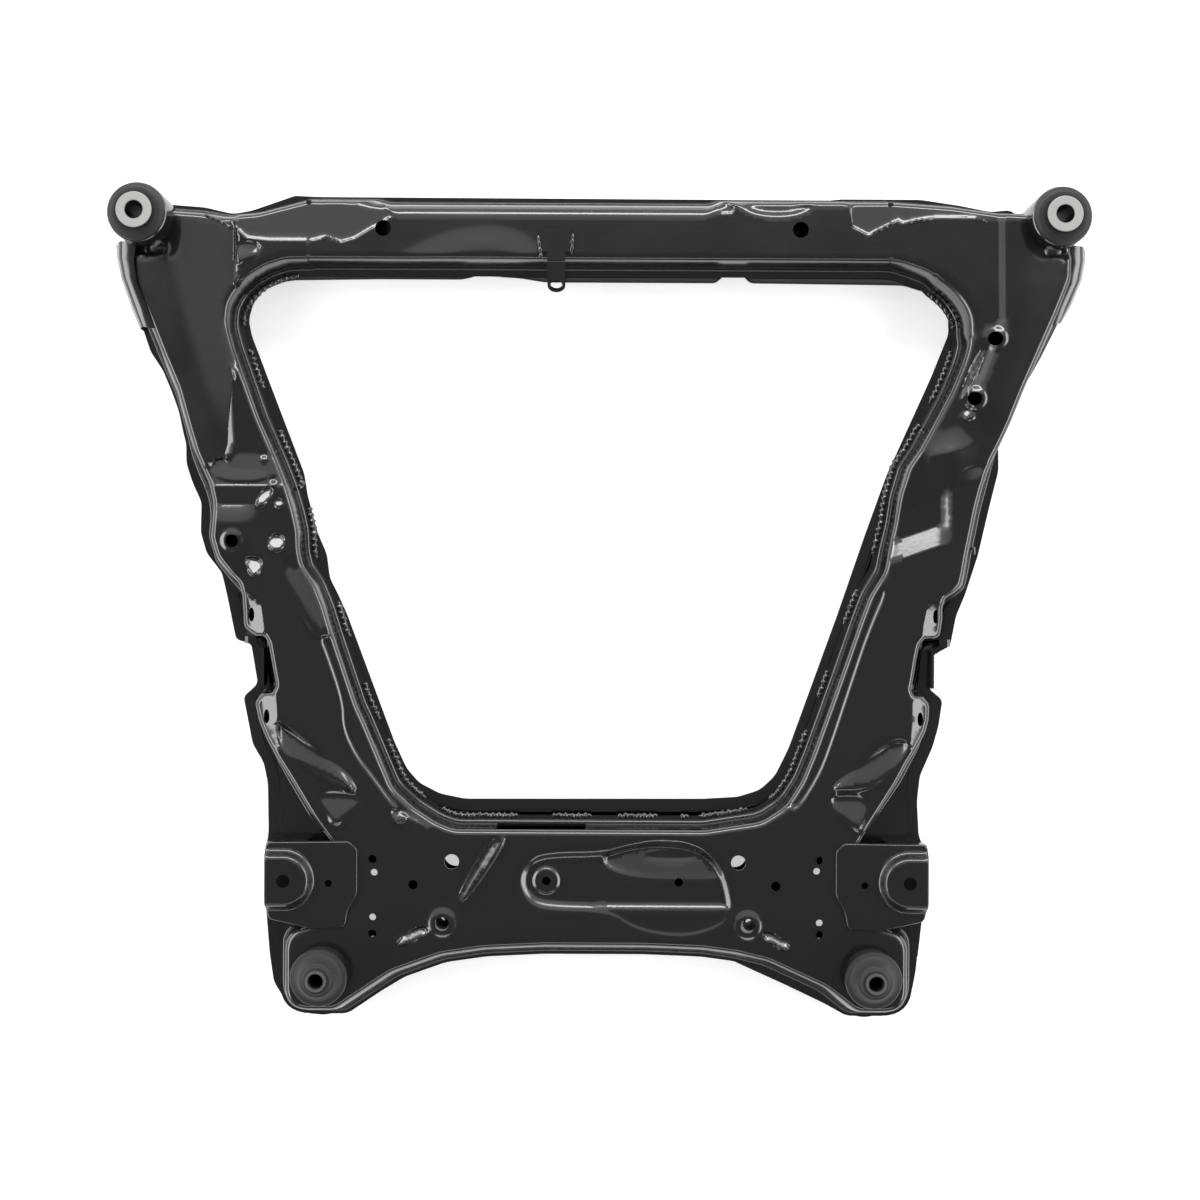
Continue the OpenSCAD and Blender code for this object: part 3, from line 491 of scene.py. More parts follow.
def relaxed(corners):
    """Open row of corners with every inner one cut off at a quarter of the lines beside it, done twice."""
    row = np.array(corners, float)
    for _ in range(2):
        cut = np.stack([0.75 * row[:-1] + 0.25 * row[1:], 0.25 * row[:-1] + 0.75 * row[1:]], 1)
        row = np.concatenate([row[:1], cut.reshape(-1, row.shape[1])[1:-1], row[-1:]])
    return row.tolist()


window_lean, window_flange = 4, 7.5
window_right = [[*corner, window_lean, window_flange] for corner in (
    (302.7, 345.9, 40), (328.6, 337, 40), (346.7, 326, 40), (361.7, 311.6, 40), (371.9, 293.2, 30),
    (373, 273.3, 30), (368.1, 248.4, 30), (354.2, 214.5, 40), (339, 185.6, 30), (324.2, 157.8, 30),
    (311.6, 138.8, 20), (303.4, 111, 40), (299.2, 83.1, 40), (293, 57.2, 40), (288.7, 35.3, 20),
    (274.4, 11.4, 20), (265.6, -12, 40), (242.4, -79.2, 40), (217.2, -149.9, 40), (207, -174.8, 40),
    (191.3, -199.7, 40), (165.6, -216.6, 40), (107.9, -225.6, 40),
)]
window_left = [[*corner, window_lean, window_flange] for corner in (
    (-143, -225.6, 40), (-161, -218.6, 40), (-185, -203.7, 40), (-206.1, -184.8, 40), (-221.4, -148.9, 40),
    (-233.6, -120.1, 30), (-242.8, -100.1, 40), (-253.6, -68.3, 40), (-266.9, -29.4, 40), (-275.8, -1.2, 40),
    (-284.7, 20.3, 20), (-296.7, 37.7, 20), (-300.5, 54.2, 20), (-301.4, 74.4, 40), (-305.8, 94, 40),
    (-313.7, 119.9, 40), (-322.5, 141.3, 40), (-342.4, 186.6, 40), (-367.6, 256.3, 40), (-374.4, 281.2, 40),
    (-372.5, 301.1, 30), (-364.5, 316.1, 30), (-350.4, 330, 30), (-334.3, 340, 30), (-313.7, 346.9, 40),
)]
seam_left = [[-290.0, 347.4, 0.5, 0, 0]]
main_edge = (
    front_left + left_rail_edge + rear_left + rear_edge + rear_right + right_rail_edge
    + front_right + relaxed(seam_right + window_right[:8]) + window_right[8:] + window_left + seam_left
)
wide_fold_r = 11.0
main_edge = [
    [x, y, *others, wide_fold_r if 325 < x < 385 and 270 < y < 335 else fold_r]
    for x, y, *others in main_edge
]

left_ridge_end = (-373.8, 169.7)
right_ridge = [
    [421.7, 384.8], [424.3, 322], [420.5, 289.2], [414.8, 252.3], [396.9, 207.9], [377, 159.1],
    [371.3, 144.8],
]
front_fold = [
    [-497.9, 455.5], [-368.5, 455.5], [-359.8, 372.8], [-350.7, 364.5], [-328.8, 362.4], [-284, 362.4],
    [-273.1, 365.5], [-257.1, 360.4], [-243.2, 364.5], [-222.9, 376.8], [-203.6, 388.8], [132, 390.8],
    [144.7, 415.6], [244.2, 415.6], [251.6, 377.8], [267.6, 369.8], [281.5, 376.8], [296.3, 384.8],
    [302.3, 381.8], [320.2, 385.8], [334.1, 387.8], [383.9, 387.8], [406.8, 391.8], [418.6, 399.7],
    [428.1, 455.5],
]
left_spike = [
    [-365.4, 230.4], [-366.7, 206.5], [-368.9, 181.7], [-369.7, 160.7], [-373.6, 147.8], [-388.5, 142.8],
    [-391.4, 136.8], [-385.2, 117.9],
]
left_step_y = 119.3
left_pad_y = 100
left_ledge = softened([
    [-276.3, -32.4], [-269.1, -49.4], [-253.3, -96.2], [-253, -122], [-239.8, -149.9], [-224.6, -168.8],
    [-201.5, -200.7], [-183, -212.1], [-157, -221.6], [-185, -203.7], [-206.1, -184.8], [-221.4, -148.9],
    [-233.6, -120.1], [-242.8, -100.1], [-253.6, -68.3], [-266.9, -29.4],
])
right_ledge = softened([
    [288.8, 21.3], [270, -22.5], [255.4, -66], [228.1, -149.9], [216.9, -173.8], [200.3, -199.7],
    [191.3, -199.7], [207, -174.8], [217.2, -149.9], [242.4, -79.2], [265.6, -12], [274.4, 11.4],
])
right_slope = (322.2, 66.1)
right_rib = [
    [399.7, 405.7], [400.8, 286.2], [390.1, 254.3], [378.5, 224.5], [362.9, 186.6], [356.4, 136.8],
]
racetrack = softened([
    [-50.2, -247.5], [10.5, -246.5], [40.3, -237.5], [64.2, -233.6], [96.1, -237.5], [118.1, -253.5],
    [128.3, -275.4], [133.6, -306.3], [106.8, -321.2], [75, -324.2], [39.1, -317.2], [13, -299.3],
    [-49.7, -298.3], [-66.7, -291.3], [-74.9, -273.4], [-67.1, -255.5],
])
race_step_y = -298.3
pads = [
    (
        [[-358.4, 19.3], [-334.5, 0.9], [-330.1, -28.4], [-353.9, -32.4], [-362.2, -2.6]],
        [[-364.5, 33.3], [-334.5, 0.9], [-330, -32.4]],
    ),
    (
        [[-343.4, -89.2], [-319.3, -88.2], [-317.9, -120.1], [-316, -144], [-331, -140], [-343.3, -104.1]],
        [[-319.3, -82.2], [-317.9, -120.1], [-313, -151.9]],
    ),
    (
        [[328.8, 3.9], [343.7, 6.4], [347.9, -12.5], [343, -30.4], [321.1, -29.4], [325, -13.5]],
        [[353.5, 18.4], [332.4, 4.4], [326.8, -1.6], [321.2, -32.4]],
    ),
    (
        [
            [312.7, -89.2], [325.7, -87.2], [333.7, -96.2], [331.9, -114.1], [318.2, -144], [309.2, -138],
            [313, -115.1],
        ],
        [[313.2, -82.2], [313, -115.1], [309.3, -151.9]],
    ),
]
facets = [
    (softened([
        [-318.3, -119.1], [-314.3, -117.8], [-274.2, -148.9], [-246.1, -171.8], [-239, -187.8],
        [-263, -173.8], [-297, -155.9], [-313.1, -144],
    ]), 7, 0.0, -0.2),
    (softened([
        [-276.8, -184.8], [-235, -188.8], [-242.8, -203.7], [-260.5, -221.6], [-270.7, -203.7],
    ]), 7, 0.0, -0.2),
    (softened([
        [294.2, -132], [312.2, -134], [288.6, -167.8], [266.8, -181.8], [233, -182.8], [242.8, -172.8],
        [271.5, -149.9],
    ]), 7, 0.0, -0.19),
    (softened([
        [234, -185.8], [272.8, -187.8], [263.2, -223.6], [256.2, -219.6], [235.1, -200.7],
    ]), 7, 0.0, -0.2),
    (softened([
        [-315.8, 43.2], [-293.9, 43.2], [-276.6, 3.4], [-267.3, -32.4], [-284.3, -26.5], [-298.5, 1.4],
    ]), 9.9, -0.1, -0.12),
    (softened([
        [-389.5, 144.8], [-371.6, 146.8], [-369.5, 136.8], [-333.6, 135.8], [-329.5, 122.9], [-381.3, 122.9],
    ]), 4, 0.0, -0.1),
    (softened([[363.3, 139.8], [387.2, 144.8], [381.4, 124.9], [355.5, 124.9]]), 4, 0.0, -0.14),
    (softened([[-361.7, 362.9], [-333.7, 359.9], [-349.5, 344], [-361.4, 338]]), 5, -0.1, -0.26),
    (softened([
        [6.6, -247.5], [42.3, -237.5], [96.1, -239.5], [118.1, -255.5], [126.3, -273.4], [46.6, -271.4],
        [10.6, -259.5],
    ]), 6, 0.0, -0.17, (66.5, -272.4)),
    (softened([[42.4, -251.5], [60.3, -240.5], [88.1, -241.5], [102.2, -252.5]]), 5, 0.0, 0.17),
    (softened([
        [-104.1, -229.6], [-86.2, -227.6], [-122.5, -284.3], [-140.3, -300.3], [-133.6, -278.4],
    ]), 3, 0.39, -0.248),
    (softened([[-200.7, -340.1], [-191.8, -327.2], [-171, -318.2], [-166.9, -327.2]]), 3, 0.0, -0.6),
    (softened([[163.6, -328.2], [170.6, -322.2], [193.6, -336.1], [189.7, -343.1]]), 3, 0.0, -0.6),
    (softened([[-205, -202.7], [-191, -203.7], [-188.9, -213.7], [-200.9, -215.6]]), 5, 0.2, -0.5),
    (softened([[-333.4, 116.9], [-322.5, 114.9], [-333.3, 97], [-341.3, 101]]), 4, 0.0, -0.5),
    (softened([[-351.7, 48.2], [-332.8, 45.2], [-337.6, 28.3], [-346.6, 30.3]]), 4, 0.0, -0.55),
    (circle(-320, 62.2, 8), 4, 0.0, -0.5),
    (circle(-317.8, 101.4, 4.5), 4, 0.0, -0.5),
    (circle(-323.5, 122.9, 4), 4, 0.0, -0.5),
    (circle(-333.3, 147.8, 4), 4, 0.0, -0.45),
    (circle(368.8, 193.6, 6), 5, 0.0, -0.42),
    (softened([[-457.2, 362.9], [-431.4, 366.9], [-429.2, 348.9], [-447.2, 348.9]]), 5, 0.2, 0.0),
    (softened([[439.9, 362.9], [462.8, 364.9], [462.9, 350.9], [442, 349.9]]), 5, -0.2, 0.0),
    (softened([[-273.2, 383.8], [-261.2, 379.8], [-264.2, 372.8], [-274.2, 376.8]]), 4, 0.0, -0.36),
    (softened([[380.1, 259.3], [386.1, 256.3], [363.7, 206.5], [356.7, 209.5]]), 3, 0.62, -0.3),
]


def front_drop(x, y):
    """How far the lid lies lower in front of the front fold: a small eased step, then a slope of 1 in 10."""
    line = np.array(front_fold)
    ahead = y - np.interp(x, line[:, 0], line[:, 1])
    return 1.4 * eased(ahead - 2, 4.6) + 0.1 * np.maximum(0, ahead)


def main_lid(p):
    """Height of the lid over each point: two sloping planes on each rail's front part, a small step and a slope
    in front of the front fold, sloping hollows at both waists, and pads, ledges, the racetrack and the dart as
    eased steps inside their loops."""
    x, y = p.T
    on_left, on_right = x < -250, x > 250
    level = np.full(len(p), lid_z)
    outward = lid_z + 0.165 * (x - left_ridge_end[0])
    forward = lid_z - 0.1 * (y - left_ridge_end[1]) + 0.000092 * (y**2 - left_ridge_end[1] ** 2)
    left = lower_of(lower_of(outward, forward, 1.0), level, 3.0)
    left = left + (level - left) * eased(x + 363, 5)
    left = left - 0.19 * np.clip(-421 - x, 0, 40) * eased(y - 351, 5)
    ridge, rib = np.array(right_ridge)[::-1], np.array(right_rib)[::-1]
    crown = lid_z + np.clip(0.52 * (x - np.interp(y, rib[:, 1], rib[:, 0]) + 5), 0, 5.2) * eased(y - 190, 60)
    right = lower_of(crown, lid_z + 4.6 - 0.17 * (x - np.interp(y, ridge[:, 1], ridge[:, 0])), 1.5)
    right = right - 0.19 * np.clip(x - 433, 0, 40) * eased(y - 351, 5)
    z = np.where(on_left, left, np.where(on_right, right, level))
    z -= front_drop(x, y) * (np.abs(x) < 430)
    spike = np.array(left_spike)[::-1]
    floor = np.interp(spike[-1, 1] - y, [0, 9, 75], [0, 3.8, 6.0])
    floor -= 0.165 * np.clip(left_step_y + 31 - y, 0, 31)
    pocket = np.clip(0.7 * (x - np.interp(y, spike[:, 1], spike[:, 0])), 0, np.maximum(floor, 0))
    z -= np.where(on_left & (y < spike[-1, 1]), pocket * eased(y - left_step_y, 2.6), 0)
    past = np.clip(left_pad_y - y, 0, 21)
    swell = 0.46 * past * (1 - past / 42) * (1 - np.clip((left_pad_y - 30 - y) / 40, 0, 1))
    z += swell * eased(-345 - x, 22) * on_left
    z -= 2.4 * eased(depth_in(p, left_ledge), 5)
    z -= 2.4 * eased(depth_in(p, right_ledge), 5)
    toward = (p - right_slope) @ np.array([-0.332, 0.943])
    sunk = np.clip((toward + 9.5) / 19, 0, 1) * (1 - np.clip((toward - 35) / 45, 0, 1))
    z -= 9.0 * sunk * eased(347 - x, 20) * on_right
    climb = np.clip(100 - toward, 0, 25)
    crest = 0.0105 * climb**2 * (1 - np.clip((75 - toward) / 35, 0, 1))
    z += crest * eased(x - 328, 16) * eased(366 - x, 44) * on_right
    z += np.maximum(-4.4 * eased(depth_in(p, racetrack), 9.6), -4.4 + 3.2 * eased(race_step_y - y, 7))
    for loop, ease, slope_x, slope_y, *pivot in facets:
        middle = pivot[0] if pivot else np.mean(loop, 0)
        z += eased(depth_in(p, loop), ease) * ((p - middle) @ np.array([slope_x, slope_y]))
    for loop, brink in pads:
        fall = 0.41 * gap(p, brink, closed=False)
        z = np.where(inside(p, np.array(loop)), lower_of(lid_z - fall, z, 0.6), z)
    for cx, cy, r, rise, width in rims:
        z += rise * eased(r - np.hypot(x - cx, y - cy), width)
    return z


pad_hole = (3.0, 7.0)
rear_mount_x, rear_mount_y = 273.0, -366.1
main_holes = [circle(x, y, r) for x, y, r in (
    (-363.8, 63.7, 6.4), (394, 268.3, 7.2), (373.7, 208.5, 7.0), (-223.6, -252.5, 4.6),
    (-221.3, -265.4, 3.4), (-222.6, -309.9, 3.4), (-222.9, -327.2, 4.6), (-182.5, -277.5, 4.6),
    (220.6, -251.5, 4.4), (219.1, -262.4, 3.4), (221.9, -313.8, 3.4), (220.8, -325.2, 4.4),
    (178.4, -277.5, 4.6), (-144.2, -254.4, 7.4), (141.2, -254.4, 7.4), (-153.6, -316.7, 7.2),
    (150.6, -317, 7.2), (-50, -273.4, 4.5), (82, -274.4, 4.2),
    (-rear_mount_x, rear_mount_y, 27.2), (rear_mount_x, rear_mount_y, 27.2),
)] + [
    circle(0, 0, 1.0) * pad_hole + [x, y]
    for x, y in ((-345.2, -9.5), (-329.6, -110.9), (337.1, -8.5), (321.9, -110.9))
]
rims = [
    (-363.8, 63.7, 10, 1.6, 6), (394, 268.3, 11, 1.6, 6), (373.7, 208.5, 11, 1.6, 6),
    (-153.1, -315.7, 13, 2.4, 8), (150.6, -317, 13, 2.4, 8), (-50, -273.4, 12.6, 2.2, 5),
    (-50, -273.4, 7.5, -1.6, 4),
]
main_creases = [beside(left_ledge, 5), beside(right_ledge, 5), beside(racetrack, 9.6)]
main_creases += [beside(loop, ease) for loop, ease, *_ in facets]
fine = np.stack(np.meshgrid(np.arange(-14, 14, 1.6), np.arange(-14, 14, 1.6)), 2).reshape(-1, 2)
for loop, ease, *_ in facets:
    if np.ptp(loop, 0).max() < 40 and ease < 5:
        patch = fine + np.mean(loop, 0)
        main_creases.append(patch[inside(patch, np.asarray(loop, float))])
main_creases += [beside(brink, 3, closed=False) for _, brink in pads]
slope_line = [[301.7, 58.9], [342.8, 73.4]]
main_creases += [beside(line, width, closed=False) for line, width in (
    (front_fold[2:], 4), (right_ridge, 3), (left_spike, 4),
    ([[-385.2, 119.3], [-323.5, 119.3]], 4), ([[-373.1, 100], [-337.3, 100]], 4),
    (slope_line, 17), (slope_line, 19), (slope_line, 21), ([[347.3, 156.8], [348, 77.1]], 20),
    ([[-362.4, 226.5], [-362.7, 206.5], [-364.4, 181.7], [-364.7, 160.7]], 9),
    ([[399.8, 390.8], [400.8, 286.2], [390.1, 254.3], [378.5, 224.5]], 10),
    ([[-364.8, 380.8], [-364.2, 316.1]], 5), ([[11, -298.3], [134.5, -298.3]], 6),
)]
main_creases += [circle(x, y, r + k * w, 30) for x, y, r, _, w in rims for k in (-0.5, -0.25, 0, 0.25, 0.5)]
rear_slot = (-101.0, -10.0, -245.0, -200.0)
main_face = pressing(main_edge, main_lid, fold_r, main_holes, 4.4, seam + sheet_t, main_creases, rear_slot)
main_upper = sheet_piece("main_upper", *main_face, sheet_t)
main_upper.data.materials.append(black_paint)
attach(main_upper, "root")
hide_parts("main_upper_shell")


# Upper pressing of the front beam: a shallow hat of the same sheet, welded across the rails' front ends,
# with a steep front slope, a soft swelling on the left and a dished corner on the right.
beam_edge = [
    [-290.0, 347.4, 0.5, 3, 8, 6], [290.0, 347.4, 0.5, 0, 0, 6], [290.0, 401.4, 0.5, 5, 2.5, 6],
    [128, 401.4, 20, 6, 2.5, 10], [108, 393.4, 20, 6, 2.5, 14], [-205, 393.4, 30, 6, 2.5, 10],
    [-235, 401.4, 30, 5, 2.5, 6], [-290.0, 401.4, 0.5, 0, 0, 6],
]
swelling = softened([
    [-218, 331], [-178.4, 353.9], [-148.6, 365.9], [-116.8, 371.8], [-83.9, 367.9], [-64.9, 355.9],
    [-53.7, 331],
])
dish = softened([
    [131.7, 417.6], [139.8, 400.7], [159.8, 391.8], [192.7, 391.8], [212.5, 400.7], [223.3, 417.6],
])


def beam_lid(p):
    """Height of the beam's lid: a step and a slope in front of the front fold, the swelling and the dish."""
    x, y = p.T
    z = lid_z - front_drop(x, y)
    z += 2.4 * eased(depth_in(p, swelling) - 4, 26)
    z -= 4.0 * eased(depth_in(p, dish), 9)
    return z


beam_holes = [circle(-215.4, 375.8, 8.0), circle(200.3, 375.8, 8.0)]
beam_creases = [beside(dish, 9), beside(front_fold[2:], 4, closed=False)]
beam_face = pressing(beam_edge, beam_lid, fold_r, beam_holes, 3.2, seam + sheet_t, beam_creases)
beam_upper = sheet_piece("beam_upper", *beam_face, sheet_t)
beam_upper.data.materials.append(black_paint)
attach(beam_upper, "root")
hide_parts("front_upper_shell")


# Lower pressing of the rails and the rear crossmember: a tray of the same sheet. From above only its lip
# shows, standing out past the upper sheet's flange all around, where the two are welded together.
lip_left = [
    [-488.2, 349.7, 20], [-481.9, 329.5, 20], [-470.5, 298.1, 10], [-464.2, 278.8, 3], [-461.2, 276.8, 3],
    [-458.1, 267.7, 10], [-453.9, 255.5, 10], [-441.6, 237.3, 14], [-432.2, 215, 20], [-425, 194.8, 20],
    [-420.7, 174.5, 20], [-417.6, 162.4, 14], [-417.4, 143.1, 8], [-411.1, 123.9, 14], [-401.8, 103.6, 10],
    [-402.5, 73.2, 14], [-396.3, 52, 10], [-380.9, 32.7, 14], [-375.6, 10.4, 20], [-366.1, -35.1, 2],
    [-350.8, -39.2, 5], [-343.9, -79.7, 4], [-358.4, -92.9, 2], [-353.1, -119.2, 10], [-348.9, -140.5, 10],
    [-337.6, -159.7, 12], [-333.3, -180, 20], [-332.3, -230.6, 20], [-337.1, -258, 10], [-334.1, -311.6, 20],
    [-330.7, -352.2, 20], [-326.3, -381.5, 20], [-313, -402.8, 18], [-291.6, -413.4, 20],
    [-273.4, -414.9, 16], [-253.2, -408.9, 20], [-233, -399.8, 30], [-194.7, -376.5, 30],
    [-174.6, -367.3, 30], [-154.4, -361.3, 30], [-132.1, -355.7, 30], [-93.7, -352.2, 40],
]
lip_right = [
    [88.6, -350.1, 40], [112.9, -351.1, 30], [131.2, -354.7, 30], [149.5, -363.3, 30], [190.2, -381.5, 30],
    [230.9, -400.8, 30], [249.2, -410.9, 20], [271.5, -414.9, 16], [293.8, -410.9, 20], [310.9, -401.8, 18],
    [319.9, -387.6, 18], [323.8, -367.3, 20], [327.4, -326.8, 20], [332.2, -291.4, 20], [335.8, -251.9, 10],
    [326, -230.6, 20], [324.2, -195.2, 20], [327, -169.8, 20], [339.8, -140.5, 12], [345.7, -119.2, 10],
    [349.5, -92.9, 2], [335.7, -81.7, 4], [339, -48.3, 5], [357.1, -38.2, 2], [362.9, -7.8, 14],
    [371.8, 13.5, 20], [384.6, 53, 20], [396.3, 103.6, 20], [405.1, 139.1, 14], [404.8, 164.4, 14],
    [411.6, 193.8, 20], [428.6, 225.2, 20], [461.4, 284.9, 12], [480.4, 316.3, 20], [490.3, 339.6, 20],
    [491.3, 358.8, 4],
]
lip_front_left = [
    [-308.6, 414.6, 0.5], [-351.9, 399.4, 30], [-371.2, 395.8, 30], [-399.6, 402.4, 30], [-440.1, 405.4, 5],
    [-465.2, 376.1, 5], [-489.3, 361.9, 3],
]
lip_front_right = [
    [474.9, 359.9, 5], [451.4, 376.1, 5], [415.7, 403.4, 8], [395.5, 401.4, 30], [365.1, 407.5, 30],
    [324.5, 413.5, 40], [288.6, 413.5, 0.5],
]
lip_window_right = [
    [289.4, 326.8, 0.5], [308.1, 326.4, 30], [337.5, 317.3, 26], [352.9, 299.1, 26], [354.1, 277.8, 26],
    [336.3, 233.3, 40], [291.7, 134, 40], [270, 73.2, 40], [242.4, -7.8, 40], [194, -142.5, 40],
    [180.1, -170.9, 36], [165, -185, 30], [142.8, -192.1, 20], [107.4, -194.2, 20],
]
lip_window_left = [
    [-133.6, -195.2, 30], [-159, -190.1, 36], [-180.4, -179, 30], [-192.7, -164.8, 36], [-205.1, -138.4, 40],
    [-235.2, -58.4, 40], [-253.9, -8.8, 20], [-263.2, 11.5, 10], [-271.5, 27.7, 10], [-274.7, 52, 10],
    [-284, 73.2, 20], [-294.5, 111.7, 20], [-297.8, 133, 20], [-321.7, 194.8, 40], [-351.8, 272.8, 30],
    [-355, 289, 26], [-350.1, 306.2, 26], [-339, 319.3, 26], [-318.9, 327.5, 30], [-307.8, 329, 0.5],
]
main_lip = lip_front_left + lip_left + lip_right + lip_front_right + lip_window_right + lip_window_left


def tray(name, line, holes):
    """Lower pressing from its lip inwards: lip, rounded shoulder, leaning wall and flat floor one sheet up.
    It is cut off upright between two sharp corners, where it butts against the next pressing."""
    c = np.asarray(line, float)
    still = 1.0 - (c[:, 2] == 0.5) * (np.roll(c[:, 2], -1) == 0.5)
    where = stations(rounded(c, 0 * still), 6.0)
    profile = [
        (0, seam), (11.0, seam), (13.0, seam - 0.6), (14.2, seam - 2.0),
        (18.0, sheet_t + 4.0), (19.2, sheet_t + 1.2), (22.0, sheet_t),
    ]
    rows = np.array([
        np.column_stack([sampled(rounded(c, -inset * still), where), np.full(len(where[0]), height)])
        for inset, height in profile
    ])[::-1]
    flat, faces = trimmed_grid(rows[0][:, :2], holes, 14.0)
    floor = np.column_stack([flat, np.full(len(flat), sheet_t)])
    points = np.concatenate([floor, rows.reshape(-1, 3)])
    return sheet_piece(name, points, faces, skirt(rows, len(floor)), sheet_t)


main_floor_holes = [circle(-144.2, -254.4, 12), circle(141.2, -254.4, 12)] + [
    circle(x * 1.031, y * 1.031, 6, 20) for x, y in (
        (-221.3, -265.4), (-222.6, -309.9), (219.1, -262.4), (221.9, -313.8),
        (-156.1, -314.2), (153.6, -314.2),
    )
]
main_lower = tray("main_lower", main_lip, main_floor_holes)
main_lower.data.materials.append(black_paint)
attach(main_lower, "root")
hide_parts("main_lower_shell")


# Pocket floors: flat plates of the same sheet that close the lower pressing under the arms' rear bushes.
# They lie level with the lip and are cut out around the rear mount's collar.
for tag, line in (
    ("left", [
        [-336.6, -156.7], [-331.3, -180], [-330.3, -230.6], [-334.6, -258], [-332.1, -311.6],
        [-328.6, -353.2], [-296.4, -337], [-246, -311.6], [-246.6, -250.9], [-261.9, -233.7],
        [-281.4, -207.3], [-302, -174.9], [-316.4, -152.6],
    ]),
    ("right", [
        [309.6, -152.6], [295.6, -174.9], [273.6, -207.3], [254.6, -233.7], [241.6, -250.9], [242.2, -311.6],
        [291.1, -337], [325.6, -353.2], [330.3, -311.6], [333.9, -258], [324.5, -230.6], [322.1, -195.2],
        [325.9, -169.8], [331.9, -156.7],
    ]),
):
    edge = np.array(line)
    flat, faces = trimmed_grid(edge, [circle(np.sign(edge[0, 0]) * rear_mount_x, rear_mount_y, 27.4)], 12.0)
    level_plate = np.column_stack([flat, np.full(len(flat), seam - 0.4)])
    saddle = sheet_piece(tag + "_pocket_floor", level_plate, faces, np.empty((0, 4), int), sheet_t)
    saddle.data.materials.append(black_paint)
    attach(saddle, "root")
    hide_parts("main_lower_shell")


# Lower pressing of the front beam: a shallow tray of the same sheet, butted between the rails' lower pressing
# and welded along its lip to the beam's upper pressing.
beam_lip = [
    [-307.7, 329, 0.5], [-221.7, 330.5, 20], [-138.6, 330.5, 6], [-122.4, 334.5, 6], [-79.9, 332, 10],
    [-54.5, 328, 10], [117.7, 328, 3], [126.7, 335.6, 4], [143.9, 336.6, 4], [153.1, 328, 3],
    [289.3, 326.8, 0.5], [288.5, 413.5, 0.5], [243.5, 413.5, 40], [218.2, 410.5, 30], [187.8, 407, 40],
    [154.4, 407.5, 30], [132.1, 412.5, 30], [-283.2, 413.5, 40], [-308.5, 414.6, 0.5],
]
beam_lower = tray("beam_lower", beam_lip, [])
beam_lower.data.materials.append(black_paint)
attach(beam_lower, "root")
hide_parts("front_lower_shell")


# Front body mounts: a steel tube welded to the end of each rail, a pressed-in bush whose rubber bulges over
# the tube's rim, and a bare machined sleeve with a broad head that the body bolt clamps.
def turned(name, profiles, x, y):
    """Closed profiles of radius and height turned around an upright axis."""
    around = 96
    t = np.linspace(0, 2 * np.pi, around, endpoint=False)
    points, quads = [], []
    for profile in profiles:
        r, z = np.array(profile, float).T
        height = np.broadcast_to(z[:, None], (len(r), around))
        ring = np.stack([x + r[:, None] * np.cos(t), y + r[:, None] * np.sin(t), height], 2)
        i, j = np.meshgrid(np.arange(len(r)), np.arange(around), indexing="ij")
        first = sum(len(p) for p in points)
        i2, j2 = (i + 1) % len(r), (j + 1) % around
        ends = [i * around + j, i * around + j2, i2 * around + j2, i2 * around + j]
        quads.append(np.stack(ends, 2).reshape(-1, 4) + first)
        points.append(ring.reshape(-1, 3))
    return sheet_piece(name, np.concatenate(points), np.empty((0, 3), int), np.concatenate(quads), 0, 35)


moulded_rubber = coated("moulded_rubber", (0.016, 0.016, 0.016), 0.5, 0.62, 420.0, 0.00008, 1.5)
bare_grey = (0.4, 0.4, 0.395)
bare_metal = coated("bare_metal", bare_grey, 0.42, 0.55, 520.0, 0.00002, 1.5)
turned_steel_painted_shade = coated("turned_steel_painted_shade", bare_grey, 0.42, 0.55, 520.0, 0.00002, 1.5)
for finish in (bare_metal, turned_steel_painted_shade):
    finish.node_tree.nodes["Principled BSDF"].inputs["Metallic"].default_value = 0.25
# Painted shade: a height ramp colours the front sleeves near black below about 112 mm, just under the head's
# top face. The bore and most of the head's side are included, standing in for the shade down the bore. Only the
# top face and its chamfer keep the bare grey.
nodes, links = turned_steel_painted_shade.node_tree.nodes, turned_steel_painted_shade.node_tree.links
place = nodes.new("ShaderNodeTexCoord")
upward = nodes.new("ShaderNodeSeparateXYZ")
lift = nodes.new("ShaderNodeMapRange")
lift.inputs["From Min"].default_value = 0.112
lift.inputs["From Max"].default_value = 0.1136
painted_bore_shade = nodes.new("ShaderNodeValToRGB")
dark, bright = painted_bore_shade.color_ramp.elements
dark.position, dark.color = 0.2, (0.012, 0.012, 0.012, 1)
bright.position, bright.color = 0.6, (*bare_grey, 1)
links.new(place.outputs["Object"], upward.inputs[0])
links.new(upward.outputs["Z"], lift.inputs["Value"])
links.new(lift.outputs["Result"], painted_bore_shade.inputs["Fac"])
links.new(painted_bore_shade.outputs["Color"], nodes["Principled BSDF"].inputs["Base Color"])
